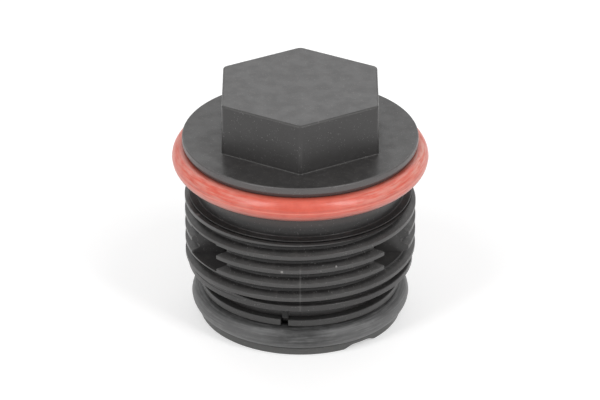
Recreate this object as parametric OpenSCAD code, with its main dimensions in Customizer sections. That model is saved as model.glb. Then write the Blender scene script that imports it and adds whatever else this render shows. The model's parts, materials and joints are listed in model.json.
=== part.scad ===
// Pressure cap of a coolant expansion tank: a screwed moulding with a hexagon head,
// two seal rings, and a pressure valve and a vacuum valve inside.
// Millimetres, +Z up, origin at the centre of the lower lip.

/* [Head] */
// Width across the hexagon's flats, at its foot
head_af = 30; // [28:0.1:34]
// Height of the hexagon above the flange
head_h = 10.2; // [6:0.1:16]
// Taper that lets the hexagon leave its mould, across the flats
draft_w = 0.1; // [0:0.05:1]
// Radius of the hexagon's upright edges
head_edge_r = 0.8; // [0.3:0.1:2]
// Radius of the fillet round the hexagon's foot
head_fillet_r = 0.25; // [0.1:0.05:0.8]
// Radius of the edge round the hexagon's top
head_rim_r = 0.25; // [0.1:0.05:0.6]
// Thickness of the closed top above the spring
head_top = 3.7; // [2:0.1:5]

/* [Flange] */
// Diameter of the flange
flange_d = 45.7; // [44:0.1:52]
// Thickness of the flange
flange_t = 2.1; // [1.5:0.1:4]
// Height of the taper under the flange's rim
flange_taper_h = 0.85; // [0.2:0.05:1.3]
// Width of that taper
flange_taper_w = 0.45; // [0.2:0.05:1]
// Small bevel on the flange's upper edge
flange_edge = 0.3; // [0.1:0.05:0.5]

/* [Neck] */
// Diameter of the neck that carries the upper seal ring
neck_d = 40.4; // [39:0.1:41]
// Height of the neck, from the thread to the flange
neck_h = 10; // [7:0.1:16]
// Diameter of the low step at the neck's foot
step_d = 43.4; // [41.5:0.1:44]
// Height of that step
step_h = 0.25; // [0.1:0.05:0.6]

/* [Thread] */
// Outside diameter of the thread
thread_d = 45; // [44.5:0.1:47]
// Rise of the thread in one turn
thread_pitch = 3; // [2.5:0.1:4]
// Depth of the thread
thread_depth = 1.4; // [0.8:0.1:1.5]
// Width of the flat on the thread's crest
crest_w = 0.78; // [0.4:0.02:0.9]
// Height of the threaded stretch
thread_h = 13.8; // [10:0.1:20]
// Angle round the cap at which a crest leaves the threaded stretch's lower plane
thread_phase = 208; // [0:1:359]
// Height of the plain strip at each end of the thread
relief_h = 0.25; // [0.1:0.05:0.4]
// Depth of those strips below the thread's root
relief_depth = 0.1; // [0.05:0.05:0.3]

/* [Collar and spigot] */
// Diameter of the plain collar under the thread
collar_d = 44; // [42:0.1:45]
// Thickness of the collar
collar_t = 1.4; // [0.8:0.1:3]
// Bevel on the edges of the collar, the thin ring and the lip
rim_bevel = 0.15; // [0.05:0.05:0.3]
// Outside diameter of the body's open lower end
spigot_d = 36.4; // [36:0.1:38]
// Length of that end below the collar
spigot_h = 3.1; // [2:0.1:6]
// Width of the rib that locks the housing against turning
rib_w = 1.1; // [0.8:0.1:1.3]
// Height of that rib above the spigot's surface
rib_h = 0.6; // [0.3:0.1:0.7]

/* [Bore] */
// Diameter of the body's bore behind the windows
bore_d = 33.2; // [32.6:0.1:34]
// Diameter of the tube and hollow that guide the piston
guide_d = 24.2; // [23:0.1:25]
// Wall of the guide tube
guide_wall = 1.9; // [1.2:0.1:2.2]
// Length of the guide tube below the body's ceiling
guide_h = 9.5; // [5:0.5:11]
// Thickness of the ceiling below the flange's upper face
ceiling_t = 4.5; // [3:0.1:6]

/* [Windows] */
// Height of each vent window
window_h = 6; // [4.5:0.1:8]
// Height of the windows' sills above the thread's lower plane
window_sill = 4.1; // [3:0.1:5]
// Distance from the middle plane to the windows' near walls
window_near = 8.1; // [7:0.1:9]
// Distance from the middle plane to the windows' far walls
window_far = 15.7; // [14.5:0.1:16.4]

/* [Valve housing] */
// Diameter of the lip at the very bottom
lip_d = 39.7; // [39:0.1:41]
// Thickness of the lip
lip_t = 1.3; // [1:0.1:2]
// Diameter of the thin ring above the lower seal
keeper_d = 39.2; // [38.6:0.1:40.4]
// Thickness of the thin ring
keeper_t = 1.4; // [0.8:0.1:2]
// Diameter of the groove's floor
groove_d = 33.9; // [33.5:0.1:34.4]
// Width of the slot through the thin ring
slot_w = 1.5; // [1.4:0.1:2.4]
// Angle of the slot, to the left of the front
slot_angle = 9; // [0:1:45]
// Angle of the notch in the lip, to the right of the front
notch_angle = 36; // [20:1:80]
// Length of the notch along the lip
notch_w = 8.6; // [6:0.1:14]
// Depth of the notch
notch_h = 0.8; // [0.3:0.05:1]
// Length of the sleeve inside the body
sleeve_h = 5; // [3.5:0.1:7]
// Height of the snap bead on the sleeve
bead_r = 0.4; // [0.2:0.05:0.6]
// Thickness of the floor
floor_t = 1.4; // [1:0.1:2]
// Depth of the recess under the floor
floor_recess = 3.6; // [2.6:0.1:4]
// Wall of the housing round that recess, measured from the groove's floor
recess_wall = 1; // [0.6:0.1:2]
// Diameter of the mouth to the tank
mouth_d = 19; // [17:0.1:20]
// Height of the valve seat above the floor
seat_h = 1; // [0.6:0.1:2]
// Width of the valve seat
seat_w = 1; // [0.6:0.1:1.4]
// Ledge between the mouth and the seat
seat_ledge = 0.3; // [0.1:0.1:0.6]

/* [Seal rings] */
// Thickness of the red ring's cord
flange_cord_d = 4.7; // [4.2:0.1:5]
// How far the red ring is pressed flat on the neck
flange_cord_flat = 0.05; // [0:0.05:0.4]
// Thickness of the black ring's cord
neck_cord_d = 4.8; // [4.2:0.1:5.4]
// How far the black ring is pressed flat on the groove's floor
neck_cord_flat = 0.4; // [0:0.05:0.6]

/* [Pressure valve] */
// Width of the rim that the piston's foot has round the gasket
foot_rim = 1; // [0.6:0.1:1.4]
// Gap round the foot, where the gas passes when the valve lifts
foot_gap = 1.4; // [0.8:0.1:1.8]
// Thickness of the piston's foot
foot_t = 1.5; // [1:0.1:2.5]
// Wall of the piston's skirt
skirt_wall = 1.3; // [0.9:0.1:1.6]
// Height of the skirt above the foot
skirt_h = 23.5; // [20:0.5:26]
// Clear height of the slots through the skirt
skirt_slot_h = 4; // [2:0.5:6]
// Height of those slots above the foot
skirt_slot_low = 1; // [0.5:0.1:3]
// Width of the slots through the skirt
skirt_slot_w = 4.5; // [3:0.1:6]
// Thickness of the gasket
gasket_t = 1.5; // [1:0.1:2.5]
// Outside diameter of the gasket
gasket_d = 25; // [24:0.1:25.6]
// Hole through the gasket
gasket_hole_d = 11.2; // [10.8:0.1:12]
// Number of vent holes in the foot
vents = 6; // [3:1:8]
// Diameter of a vent hole
vent_d = 1.5; // [1:0.1:1.6]
// Land between the vent holes and the gasket's hole
vent_land = 0.25; // [0.1:0.05:0.5]

/* [Vacuum valve] */
// Diameter of the disc
disc_d = 14.4; // [13.4:0.1:15.4]
// Thickness of the disc
disc_t = 1.2; // [0.8:0.1:1.4]
// Diameter of the stem
stem_d = 2.4; // [2:0.1:2.6]
// Outside diameter of the hub that guides the stem
hub_d = 4.6; // [4.2:0.1:4.8]
// Height of that hub above the foot
hub_h = 2.5; // [1.5:0.1:4]
// Diameter of the clip
clip_d = 8; // [7.2:0.1:9]
// Thickness of the clip
clip_t = 0.6; // [0.4:0.1:1]
// Length of stem above the clip
stem_end = 1.2; // [0.8:0.1:2]

/* [Springs] */
// Wire of the pressure spring
main_wire = 1.6; // [1.2:0.1:1.8]
// Coils of the pressure spring
main_coils = 8; // [6:1:10]
// Wire of the vacuum spring
vacuum_wire = 0.5; // [0.4:0.05:0.6]
// Coils of the vacuum spring
vacuum_coils = 6; // [4:1:7]
// Height of the vacuum spring when the valve is shut
vacuum_spring_h = 7.8; // [6:0.1:10]

/* [Fits] */
// Gap all round a piece that slides
slide_gap = 0.3; // [0.2:0.05:0.4]
// Gap all round a piece that is pushed in and stays
seat_gap = 0.05; // [0.02:0.01:0.1]

/* [Hidden] */

$fn = 96;
overlap = 0.01;
front = -90;
flank_angle = 30;
thread_steps = 72;
arc_steps = 4;

// Heights, one above the other
groove_w = neck_cord_d + 2 * seat_gap;
z_keeper = lip_t + groove_w;
z_spigot = z_keeper + keeper_t;
z_collar = z_spigot + spigot_h;
z_thread = z_collar + collar_t;
z_neck = z_thread + thread_h;
z_flange = z_neck + neck_h;
z_head = z_flange + flange_t;
z_top = z_head + head_h;
z_ceiling = z_head - ceiling_t;
z_hollow = z_top - head_top;
z_floor = floor_recess + floor_t;
z_seat = z_floor + seat_h;
z_foot = z_seat + gasket_t;
z_skirt = z_foot + foot_t;
z_clip = z_skirt + vacuum_spring_h;
z_window = z_thread + window_sill;

// Radii that follow from the sizes above
bore_r = bore_d / 2;
guide_r = guide_d / 2;
thread_r = thread_d / 2;
root_r = thread_r - thread_depth;
strip_r = root_r - relief_depth;
skirt_r = guide_r - slide_gap;
skirt_in_r = skirt_r - skirt_wall;
sleeve_r = bore_r - seat_gap;
groove_r = groove_d / 2;
foot_r = gasket_d / 2 + foot_rim;
housing_bore_r = foot_r + foot_gap;
seat_r = (mouth_d + seat_w) / 2 + seat_ledge;
stem_hole_r = stem_d / 2 + slide_gap / 2;
main_coil_r = skirt_in_r - slide_gap - main_wire / 2;
vacuum_coil_r = hub_d / 2 + slide_gap + vacuum_wire / 2;
vent_circle_r = gasket_hole_d / 2 - vent_d / 2 - vent_land;
neck_cord_r = groove_r + neck_cord_d / 2 - neck_cord_flat;
flange_cord_r = neck_d / 2 + flange_cord_d / 2 - flange_cord_flat;

// Ring of square section between two radii and two heights
module ring(r_in, r_out, z_low, z_high) {
    rotate_extrude() translate([r_in, z_low]) square([r_out - r_in, z_high - z_low]);
}

// Outline of a rim between two heights, with both its edges bevelled
function rim(r, z_low, z_high) = [
    [r - rim_bevel, z_low],
    [r, z_low + rim_bevel],
    [r, z_high - rim_bevel],
    [r - rim_bevel, z_high]
];

// Points of one section of a swept form: radius and height turned to an angle and raised
function at_angle(section, a, rise) =
    [for (p = section) [p[0] * cos(a), p[0] * sin(a), p[1] + rise]];

// Triangles that join each section to the next, with a fan over both ends
function swept_faces(sides, sections) = concat(
    [for (s = [0 : sections - 2]) for (i = [0 : sides - 1])
        let (a = s * sides + i, b = s * sides + (i + 1) % sides) [a, a + sides, b]],
    [for (s = [0 : sections - 2]) for (i = [0 : sides - 1])
        let (a = s * sides + i, b = s * sides + (i + 1) % sides) [b, a + sides, b + sides]],
    [for (i = [1 : sides - 2]) [0, i, i + 1]],
    [for (i = [1 : sides - 2]) let (e = (sections - 1) * sides) [e, e + i + 1, e + i]]
);

// Corners of one section of the thread, from the root below a crest to the root above it
function thread_section(flank_w) = [
    [root_r, -flank_w], [thread_r, 0], [thread_r, crest_w], [root_r, crest_w + flank_w]
];

// Skin of a screw whose every section has four corners: flanks and crest, the root between
// turns, and a fan to a middle point at each end
function screw_faces(count) =
    let (last = count - 1, low = 4 * count, high = low + 1)
    concat(
        [for (s = [0 : last - 1]) for (j = [0 : 2])
            each quad(4 * s + j, 4 * s + j + 1, 4 * s + j + 5, 4 * s + j + 4)],
        [for (s = [0 : last - 1 - thread_steps])
            each quad(4 * s + 3, 4 * (s + thread_steps), 4 * (s + thread_steps + 1), 4 * s + 7)],
        [for (s = [0 : thread_steps - 1]) [low, 4 * s, 4 * s + 4]],
        [[low, 4 * thread_steps, 3], [low, 3, 2], [low, 2, 1], [low, 1, 0]],
        [for (s = [last - thread_steps : last - 1]) [high, 4 * s + 7, 4 * s + 3]],
        [for (j = [0 : 2]) [high, 4 * last + j, 4 * last + j + 1]],
        [[high, 4 * (last - thread_steps) + 3, 4 * last]]
    );

function quad(a, b, c, d) = [[a, b, c], [a, c, d]];

// Threaded stretch: a screw swept up a helix, longer than it is needed and cut level at both ends
module thread() {
    section = thread_section(thread_depth * tan(flank_angle));
    turns = ceil(thread_h / thread_pitch) + 3;
    count = turns * thread_steps + 1;
    points = [for (s = [0 : count - 1]) let (turn = (s + 0.5) / thread_steps)
        each at_angle(section, 360 * turn + front + thread_phase, thread_pitch * (turn - 2))];
    middles = [[0, 0, -3 * thread_pitch], [0, 0, thread_pitch * turns]];
    translate([0, 0, z_thread]) intersection() {
        polyhedron(concat(points, middles), screw_faces(count));
        translate([-thread_d, -thread_d, relief_h])
            cube([2 * thread_d, 2 * thread_d, thread_h - 2 * relief_h]);
    }
}

// Flange, neck and the strip above the thread, turned about the axis
module flange_and_neck() {
    flange_r = flange_d / 2;
    rotate_extrude() polygon([
        [0, z_neck - relief_h],
        [strip_r, z_neck - relief_h],
        [strip_r, z_neck],
        [step_d / 2, z_neck],
        [step_d / 2, z_neck + step_h],
        [neck_d / 2, z_neck + step_h],
        [neck_d / 2, z_flange],
        [flange_r - flange_taper_w, z_flange],
        [flange_r, z_flange + flange_taper_h],
        [flange_r, z_head - flange_edge],
        [flange_r - flange_edge, z_head],
        [0, z_head]
    ]);
}

// Open lower end, collar and the strip under the thread, turned about the axis
module collar_and_spigot() {
    rotate_extrude() polygon([
        [0, z_spigot],
        [spigot_d / 2, z_spigot],
        [spigot_d / 2, z_collar],
        each rim(collar_d / 2, z_collar, z_thread),
        [strip_r, z_thread],
        [strip_r, z_thread + relief_h],
        [0, z_thread + relief_h]
    ]);
}

// Outline of the hexagon at one level, with a corner to the front and round upright edges:
// half its width across the flats, and its height
function hexagon(level) =
    let (corner_r = (level[0] - head_edge_r) / cos(30))
    [for (corner = [0 : 5]) for (i = [0 : arc_steps])
        let (out = front + 60 * corner, a = out - 30 + 60 * i / arc_steps)
        [corner_r * cos(out) + head_edge_r * cos(a), corner_r * sin(out) + head_edge_r * sin(a), level[1]]
    ];

// Hexagon head, lofted through its levels: a fillet at the foot, drafted flats, a round top edge
module hexagon_head() {
    foot = head_af / 2;
    top = foot - draft_w / 2;
    levels = concat(
        [[foot + head_fillet_r, z_head - head_fillet_r]],
        [for (i = [0 : arc_steps]) let (a = 90 * i / arc_steps)
            [foot + head_fillet_r * (1 - sin(a)), z_head + head_fillet_r * (1 - cos(a))]],
        [for (i = [0 : arc_steps]) let (a = 90 * i / arc_steps)
            [top - head_rim_r * (1 - cos(a)), z_top - head_rim_r * (1 - sin(a))]]
    );
    points = [for (level = levels) each hexagon(level)];
    polyhedron(points, swept_faces(6 * (arc_steps + 1), len(levels)));
}

// Rib down the spigot's outside, with a tongue at its foot that stands in the housing's slot
module lock_rib() {
    sunk = 0.3;
    spigot_r = spigot_d / 2;
    tongue_r = groove_r + seat_gap;
    tongue_h = keeper_t - slide_gap;
    rotate(front - slot_angle) translate([0, -rib_w / 2, 0]) {
        translate([spigot_r - sunk, 0, z_spigot]) cube([sunk + rib_h, rib_w, spigot_h + overlap]);
        translate([tongue_r, 0, z_spigot - tongue_h])
            cube([spigot_r - sunk - tongue_r, rib_w, tongue_h + overlap]);
    }
}

// Hollow of the body: bore, guide hollow in the head, and the space round the guide tube
module body_hollow() {
    low = z_ceiling - guide_h;
    rotate_extrude() polygon([
        [0, -1],
        [bore_r, -1],
        [bore_r, z_ceiling],
        [guide_r + guide_wall, z_ceiling],
        [guide_r + guide_wall, low],
        [guide_r, low],
        [guide_r, z_hollow],
        [0, z_hollow]
    ]);
}

// Groove in the bore that takes the housing's snap bead
module snap_groove() {
    z = z_collar + collar_t / 2;
    ring(bore_r - overlap, bore_r + bead_r, z - collar_t / 2, z + collar_t / 2);
}

// Vent windows: two straight slots right across the body, one before the axis and one behind it
module windows() {
    for (low = [-window_far, window_near])
        translate([-thread_d, low, z_window])
            cube([2 * thread_d, window_far - window_near, window_h]);
}

module cap_body() {
    color("#2c2b2a") union() {
        difference() {
            union() {
                collar_and_spigot();
                thread();
                flange_and_neck();
                hexagon_head();
            }
            body_hollow();
            snap_groove();
            windows();
        }
        lock_rib();
    }
}

module flange_seal_ring() {
    color("#d9604a") rotate_extrude() difference() {
        translate([flange_cord_r, z_flange - flange_cord_d / 2]) circle(d = flange_cord_d);
        translate([0, z_neck]) square([neck_d / 2, neck_h + flange_t]);
    }
}

module valve_housing() {
    bead_z = z_collar + collar_t / 2;
    color("#2e2d2c") difference() {
        union() {
            difference() {
                rotate_extrude() polygon([
                    [0, 0],
                    each rim(lip_d / 2, 0, lip_t),
                    [groove_r, lip_t],
                    [groove_r, z_keeper],
                    each rim(keeper_d / 2, z_keeper, z_spigot),
                    [sleeve_r, z_spigot],
                    [sleeve_r, bead_z - bead_r],
                    [sleeve_r + bead_r, bead_z],
                    [sleeve_r, bead_z + bead_r],
                    [sleeve_r, z_spigot + sleeve_h],
                    [0, z_spigot + sleeve_h]
                ]);
                translate([0, 0, z_floor]) cylinder(h = z_top, r = housing_bore_r);
                translate([0, 0, -1]) cylinder(h = floor_recess + 1, r = groove_r - recess_wall);
            }
            ring(seat_r - seat_w / 2, seat_r + seat_w / 2, z_floor - overlap, z_seat);
        }
        translate([0, 0, -1]) cylinder(h = z_seat, d = mouth_d);
        housing_slot();
        lip_notch();
    }
}

// Slot through the thin ring, where the body's rib stands
module housing_slot() {
    rotate(front - slot_angle) translate([groove_r, -slot_w / 2, z_keeper - overlap])
        cube([keeper_d, slot_w, keeper_t + 2 * overlap]);
}

// Notch in the lip's lower edge: level in the middle, with easy ramps at both ends
module lip_notch() {
    ramp = notch_w / 3;
    steps = 8;
    function eased(i) = (1 - cos(180 * i / steps)) / 2;
    outline = concat(
        [[-notch_w / 2, -1]],
        [for (i = [0 : steps]) [ramp * i / steps - notch_w / 2, notch_h * eased(i)]],
        [for (i = [steps : -1 : 0]) [notch_w / 2 - ramp * i / steps, notch_h * eased(i)]],
        [[notch_w / 2, -1]]
    );
    rotate(front + notch_angle) translate([groove_r - recess_wall, 0, 0])
        rotate([90, 0, 90]) linear_extrude(height = lip_d) polygon(outline);
}

module neck_seal_ring() {
    color("#3d3d3d") rotate_extrude() difference() {
        translate([neck_cord_r, lip_t + groove_w / 2]) circle(d = neck_cord_d);
        translate([0, lip_t]) square([groove_r, groove_w]);
    }
}

module pressure_piston() {
    color("#3a3a3c") difference() {
        rotate_extrude() polygon([
            [stem_hole_r, z_foot],
            [gasket_d / 2, z_foot],
            [gasket_d / 2, z_foot - gasket_t / 2],
            [foot_r, z_foot - gasket_t / 2],
            [foot_r, z_skirt],
            [skirt_r, z_skirt],
            [skirt_r, z_skirt + skirt_h],
            [skirt_in_r, z_skirt + skirt_h],
            [skirt_in_r, z_skirt],
            [hub_d / 2, z_skirt],
            [hub_d / 2, z_skirt + hub_h],
            [stem_hole_r, z_skirt + hub_h]
        ]);
        for (i = [0 : vents - 1])
            rotate(360 * i / vents) translate([vent_circle_r, 0, 0])
                cylinder(h = z_skirt + 1, d = vent_d, $fn = 24);
        for (a = [0, 90])
            rotate(a) translate([-skirt_r - 1, -skirt_slot_w / 2, z_skirt + skirt_slot_low])
                cube([2 * skirt_r + 2, skirt_slot_w, skirt_slot_h]);
    }
}

module valve_gasket() {
    color("#262626") ring(gasket_hole_d / 2, gasket_d / 2, z_seat, z_foot);
}

// Coil spring standing on a height, with its end coils closed up and its round wire swept along
module spring(coil_r, wire, coils, z_low, height, coil_steps, wire_sides) {
    closed = 1;
    span = height - wire;
    count = coils * coil_steps + 1;
    function eased(t) = t < closed ? 0 : t > coils - closed ? 1 : (t - closed) / (coils - 2 * closed);
    function rise(t) = wire * 1.02 * min(t, closed)
        + wire * 1.02 * max(0, t - coils + closed)
        + (span - 2 * closed * wire * 1.02) * eased(t);
    section = [for (i = [0 : wire_sides - 1]) let (a = 360 * i / wire_sides)
        [coil_r + wire / 2 * cos(a), wire / 2 * sin(a)]];
    points = [for (s = [0 : count - 1]) let (turn = s / coil_steps)
        each at_angle(section, 360 * turn, z_low + wire / 2 + rise(turn))];
    polyhedron(points, swept_faces(wire_sides, count));
}

module pressure_spring() {
    color("#8f9193") spring(main_coil_r, main_wire, main_coils, z_skirt, z_hollow - z_skirt, 24, 8);
}

module vacuum_disc() {
    stem_r = stem_d / 2;
    color("#b08d57") rotate_extrude() polygon([
        [0, z_seat - disc_t],
        [disc_d / 2 - disc_t / 3, z_seat - disc_t],
        [disc_d / 2, z_seat - disc_t * 2 / 3],
        [disc_d / 2, z_seat],
        [stem_r, z_seat],
        [stem_r, z_clip + clip_t + stem_end - stem_r / 2],
        [stem_r / 2, z_clip + clip_t + stem_end],
        [0, z_clip + clip_t + stem_end]
    ]);
}

module vacuum_spring() {
    color("#a6a8aa") spring(vacuum_coil_r, vacuum_wire, vacuum_coils, z_skirt, vacuum_spring_h, 16, 8);
}

module spring_clip() {
    color("#9a9ca0") ring(stem_d / 2, clip_d / 2, z_clip, z_clip + clip_t);
}

cap_body();
flange_seal_ring();
valve_housing();
neck_seal_ring();
pressure_piston();
valve_gasket();
pressure_spring();
vacuum_disc();
vacuum_spring();
spring_clip();
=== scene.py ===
# %% [markdown]
# A coolant reservoir cap: the black plug with a hexagon head that screws into the neck of a
# tank and holds its pressure. The measured solids already exist and come in as a fixed frame.
# They could be shown as they are, but a construction drawing has sharp edges and flat steps.
# So every visible piece is modelled again in its solid's own place, a little softer and finer,
# and this lesson is about surfaces: edges that catch a line of light, a mould's seam, chalky
# silicone, turned brass.

import json
import math

import bmesh
import bpy
from mathutils import Matrix, Vector

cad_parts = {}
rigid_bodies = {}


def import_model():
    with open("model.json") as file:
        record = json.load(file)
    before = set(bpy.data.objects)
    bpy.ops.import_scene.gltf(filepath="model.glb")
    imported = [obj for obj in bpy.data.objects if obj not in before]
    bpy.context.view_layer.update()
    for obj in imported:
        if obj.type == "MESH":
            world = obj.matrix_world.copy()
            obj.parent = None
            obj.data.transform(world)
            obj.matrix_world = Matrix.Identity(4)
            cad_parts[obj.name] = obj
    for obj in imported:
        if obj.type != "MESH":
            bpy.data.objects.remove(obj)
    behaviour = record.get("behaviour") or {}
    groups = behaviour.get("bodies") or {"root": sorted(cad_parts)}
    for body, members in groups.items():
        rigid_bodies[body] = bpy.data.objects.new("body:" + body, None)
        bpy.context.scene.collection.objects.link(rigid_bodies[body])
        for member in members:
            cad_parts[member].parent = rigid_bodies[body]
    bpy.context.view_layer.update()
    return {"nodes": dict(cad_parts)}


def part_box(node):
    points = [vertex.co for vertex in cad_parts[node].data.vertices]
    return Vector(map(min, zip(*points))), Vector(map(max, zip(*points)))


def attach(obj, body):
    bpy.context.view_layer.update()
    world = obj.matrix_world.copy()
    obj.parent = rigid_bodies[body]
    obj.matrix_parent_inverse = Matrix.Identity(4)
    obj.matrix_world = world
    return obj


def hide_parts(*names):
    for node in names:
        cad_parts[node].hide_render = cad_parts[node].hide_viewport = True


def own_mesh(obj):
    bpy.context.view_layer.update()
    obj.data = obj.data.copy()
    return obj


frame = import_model()
print("nodes:", sorted(frame["nodes"]))

# %% [markdown]
# Lengths below are in millimetres, because a moulded cap is drawn in millimetres. Blender
# works in metres, so a finished mesh is scaled once, by MM, just before it is handed over.
# Heights and outer radii could be typed in, but the frame knows them already, so they are read
# from the boxes of its nodes. FRONT is the bearing of the side that the camera sees.

# %% Measures shared by the pieces
MM = 0.001
FRONT = -90.0
TURN_STEPS = 240


def ends(node):
    """Lowest height, highest height and outer radius of a node, in millimetres."""
    low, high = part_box(node)
    return low.z / MM, high.z / MM, high.x / MM


body_foot, body_top, flange_r = ends("cap_body")
ring_low, ring_high, red_r = ends("flange_seal_ring")
lip_foot, sleeve_top, lip_r = ends("valve_housing")
cord_low, cord_high, black_r = ends("neck_seal_ring")
piston_foot, skirt_top, foot_r = ends("pressure_piston")
gasket_low, gasket_high, gasket_r = ends("valve_gasket")
coil_low, coil_high, coil_r = ends("pressure_spring")
disc_low, stem_top, disc_r = ends("vacuum_disc")
small_low, small_high, small_r = ends("vacuum_spring")
clip_low, clip_high, clip_r = ends("spring_clip")
print("body from", round(body_foot, 2), "to", round(body_top, 2), "flange radius", round(flange_r, 2))
print("red ring radius", round(red_r, 2), "black ring radius", round(black_r, 2))

# %% [markdown]
# Most of the cap is turned: half an outline, spun about the axis. Sharp corners look false,
# since no moulded edge is perfectly sharp. A Bevel modifier could soften them afterwards, but
# it treats all edges alike, so each corner of an outline carries a radius of its own instead
# and becomes a short arc before the outline is spun.

# %% Outlines with rounded corners
ARC_STEPS = 4
EDGE_SHARE = 0.49


def rounded(corners, closed=False):
    """Points of an outline of (radius, height, corner radius), with each corner made an arc."""
    points = []
    count = len(corners)
    for i, (x, z, bend) in enumerate(corners):
        here = Vector((x, z))
        if bend <= 0 or (not closed and i in (0, count - 1)):
            points.append((here.x, here.y))
            continue
        before = Vector(corners[i - 1][:2]) - here
        after = Vector(corners[(i + 1) % count][:2]) - here
        half = before.angle(after) / 2
        reach = min(bend / math.tan(half), before.length * EDGE_SHARE, after.length * EDGE_SHARE)
        start = here + before.normalized() * reach
        finish = here + after.normalized() * reach
        inwards = (before.normalized() + after.normalized()).normalized()
        centre = here + inwards * reach / math.cos(half)
        first = start - centre
        sweep = first.angle_signed(finish - centre)
        for step in range(ARC_STEPS + 1):
            turned_by = Matrix.Rotation(-sweep * step / ARC_STEPS, 2) @ first
            points.append((centre.x + turned_by.x, centre.y + turned_by.y))
    return points


print("a corner of radius 1:", [tuple(round(c, 2) for c in p) for p in rounded(
    [(5, 0, 0), (6, 0, 1), (6, 1.5, 0)])])

# %% Drawing and spinning an outline


def outline(bm, points, closed=False):
    """Draws an outline in the plane y = 0 and returns its edges."""
    verts = [bm.verts.new((x, 0, z)) for x, z in points]
    edges = [bm.edges.new(pair) for pair in zip(verts, verts[1:])]
    if closed:
        edges.append(bm.edges.new((verts[-1], verts[0])))
    return edges


def spin_once(bm, edges, steps=TURN_STEPS):
    """Turns an outline all the way round the axis and welds the seam."""
    verts = list({v for e in edges for v in e.verts})
    bmesh.ops.spin(
        bm, geom=verts + edges, cent=(0, 0, 0), axis=(0, 0, 1), dvec=(0, 0, 0),
        angle=math.tau, steps=steps, use_merge=True, use_duplicate=False)


print("a full turn takes", TURN_STEPS, "steps of", 360 / TURN_STEPS, "degrees")

# %% [markdown]
# A spun mesh has doubled points at its poles and seam, and faces that may point inwards. It is
# welded first and its normals are recalculated after that, since the other way round the open
# seam would mislead them. Only then does it become an object, at the origin and unturned.

# %% From mesh to object
WELD = 1e-4


def tidy_skin(bm):
    """Welds doubled points and turns every face outwards."""
    bmesh.ops.remove_doubles(bm, verts=bm.verts, dist=WELD)
    bmesh.ops.dissolve_degenerate(bm, dist=WELD / 10, edges=bm.edges)
    bmesh.ops.recalc_face_normals(bm, faces=bm.faces)


def as_object(bm, name):
    """Makes an object from a mesh in millimetres, at its true size and place."""
    bmesh.ops.scale(bm, vec=(MM, MM, MM), verts=bm.verts)
    mesh = bpy.data.meshes.new(name)
    bm.to_mesh(mesh)
    bm.free()
    piece = bpy.data.objects.new(name, mesh)
    bpy.context.scene.collection.objects.link(piece)
    return piece


print("points closer than", WELD, "mm become one")

# %% [markdown]
# Moulded plastic is smooth over its arcs and flat on its faces. Plain smooth shading would
# pull a gradient from each small corner arc across the flat face beside it, so the normals
# are weighted by area, and a hard line stays only where two faces meet at a real angle.

# %% Shading a finished skin
HARD_ANGLE = math.radians(38)
SLIVER = 1e-6


def shade(piece, hard_angle=HARD_ANGLE):
    """Closes slivers that cuts left, then shades smoothly with hard lines at real angles."""
    bm = bmesh.new()
    bm.from_mesh(piece.data)
    bmesh.ops.remove_doubles(bm, verts=bm.verts, dist=SLIVER)
    bmesh.ops.recalc_face_normals(bm, faces=bm.faces)
    print(piece.name, "open edges:", sum(not e.is_manifold for e in bm.edges))
    bm.to_mesh(piece.data)
    bm.free()
    piece.data.shade_smooth()
    piece.data.set_sharp_from_angle(angle=hard_angle)
    weighted = piece.modifiers.new("flat faces stay flat", "WEIGHTED_NORMAL")
    weighted.keep_sharp = True


print("hard line from", round(math.degrees(HARD_ANGLE)), "degrees")

# %% [markdown]
# The body is one black moulding: hexagon, flange, neck, thread, collar and open lower end. Its
# right-hand thread is the part that takes skill. A Screw modifier could wind it, but it closes
# no ends and keeps no flat strips. So the outline of a single pitch is spun through one turn
# while it climbs by that pitch, and copies of the turn are stacked and welded, which lets the
# groove run on without a break. Crests and roots are rounded in the outline itself.

# %% Sizes of the thread
PITCH = 3.0
THREAD_R = flange_r - 0.35
THREAD_DEPTH = 1.4
ROOT_R = THREAD_R - THREAD_DEPTH
CREST_W = 0.78
FLANK_W = THREAD_DEPTH * math.tan(math.radians(30))
CREST_EDGE, ROOT_EDGE = 0.14, 0.22
FRONT_CREST = 13.367
THREAD_FOOT, NECK_FOOT = 12.1, 25.9
RELIEF = 0.25
STRIP_R = ROOT_R - 0.1
THREAD_TURNS = 7
THREAD_WELD = 2e-3
LEVEL_SLACK = 2e-3
print("root radius", round(ROOT_R, 2), "flank height", round(FLANK_W, 3))

# %% The threaded stretch


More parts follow.
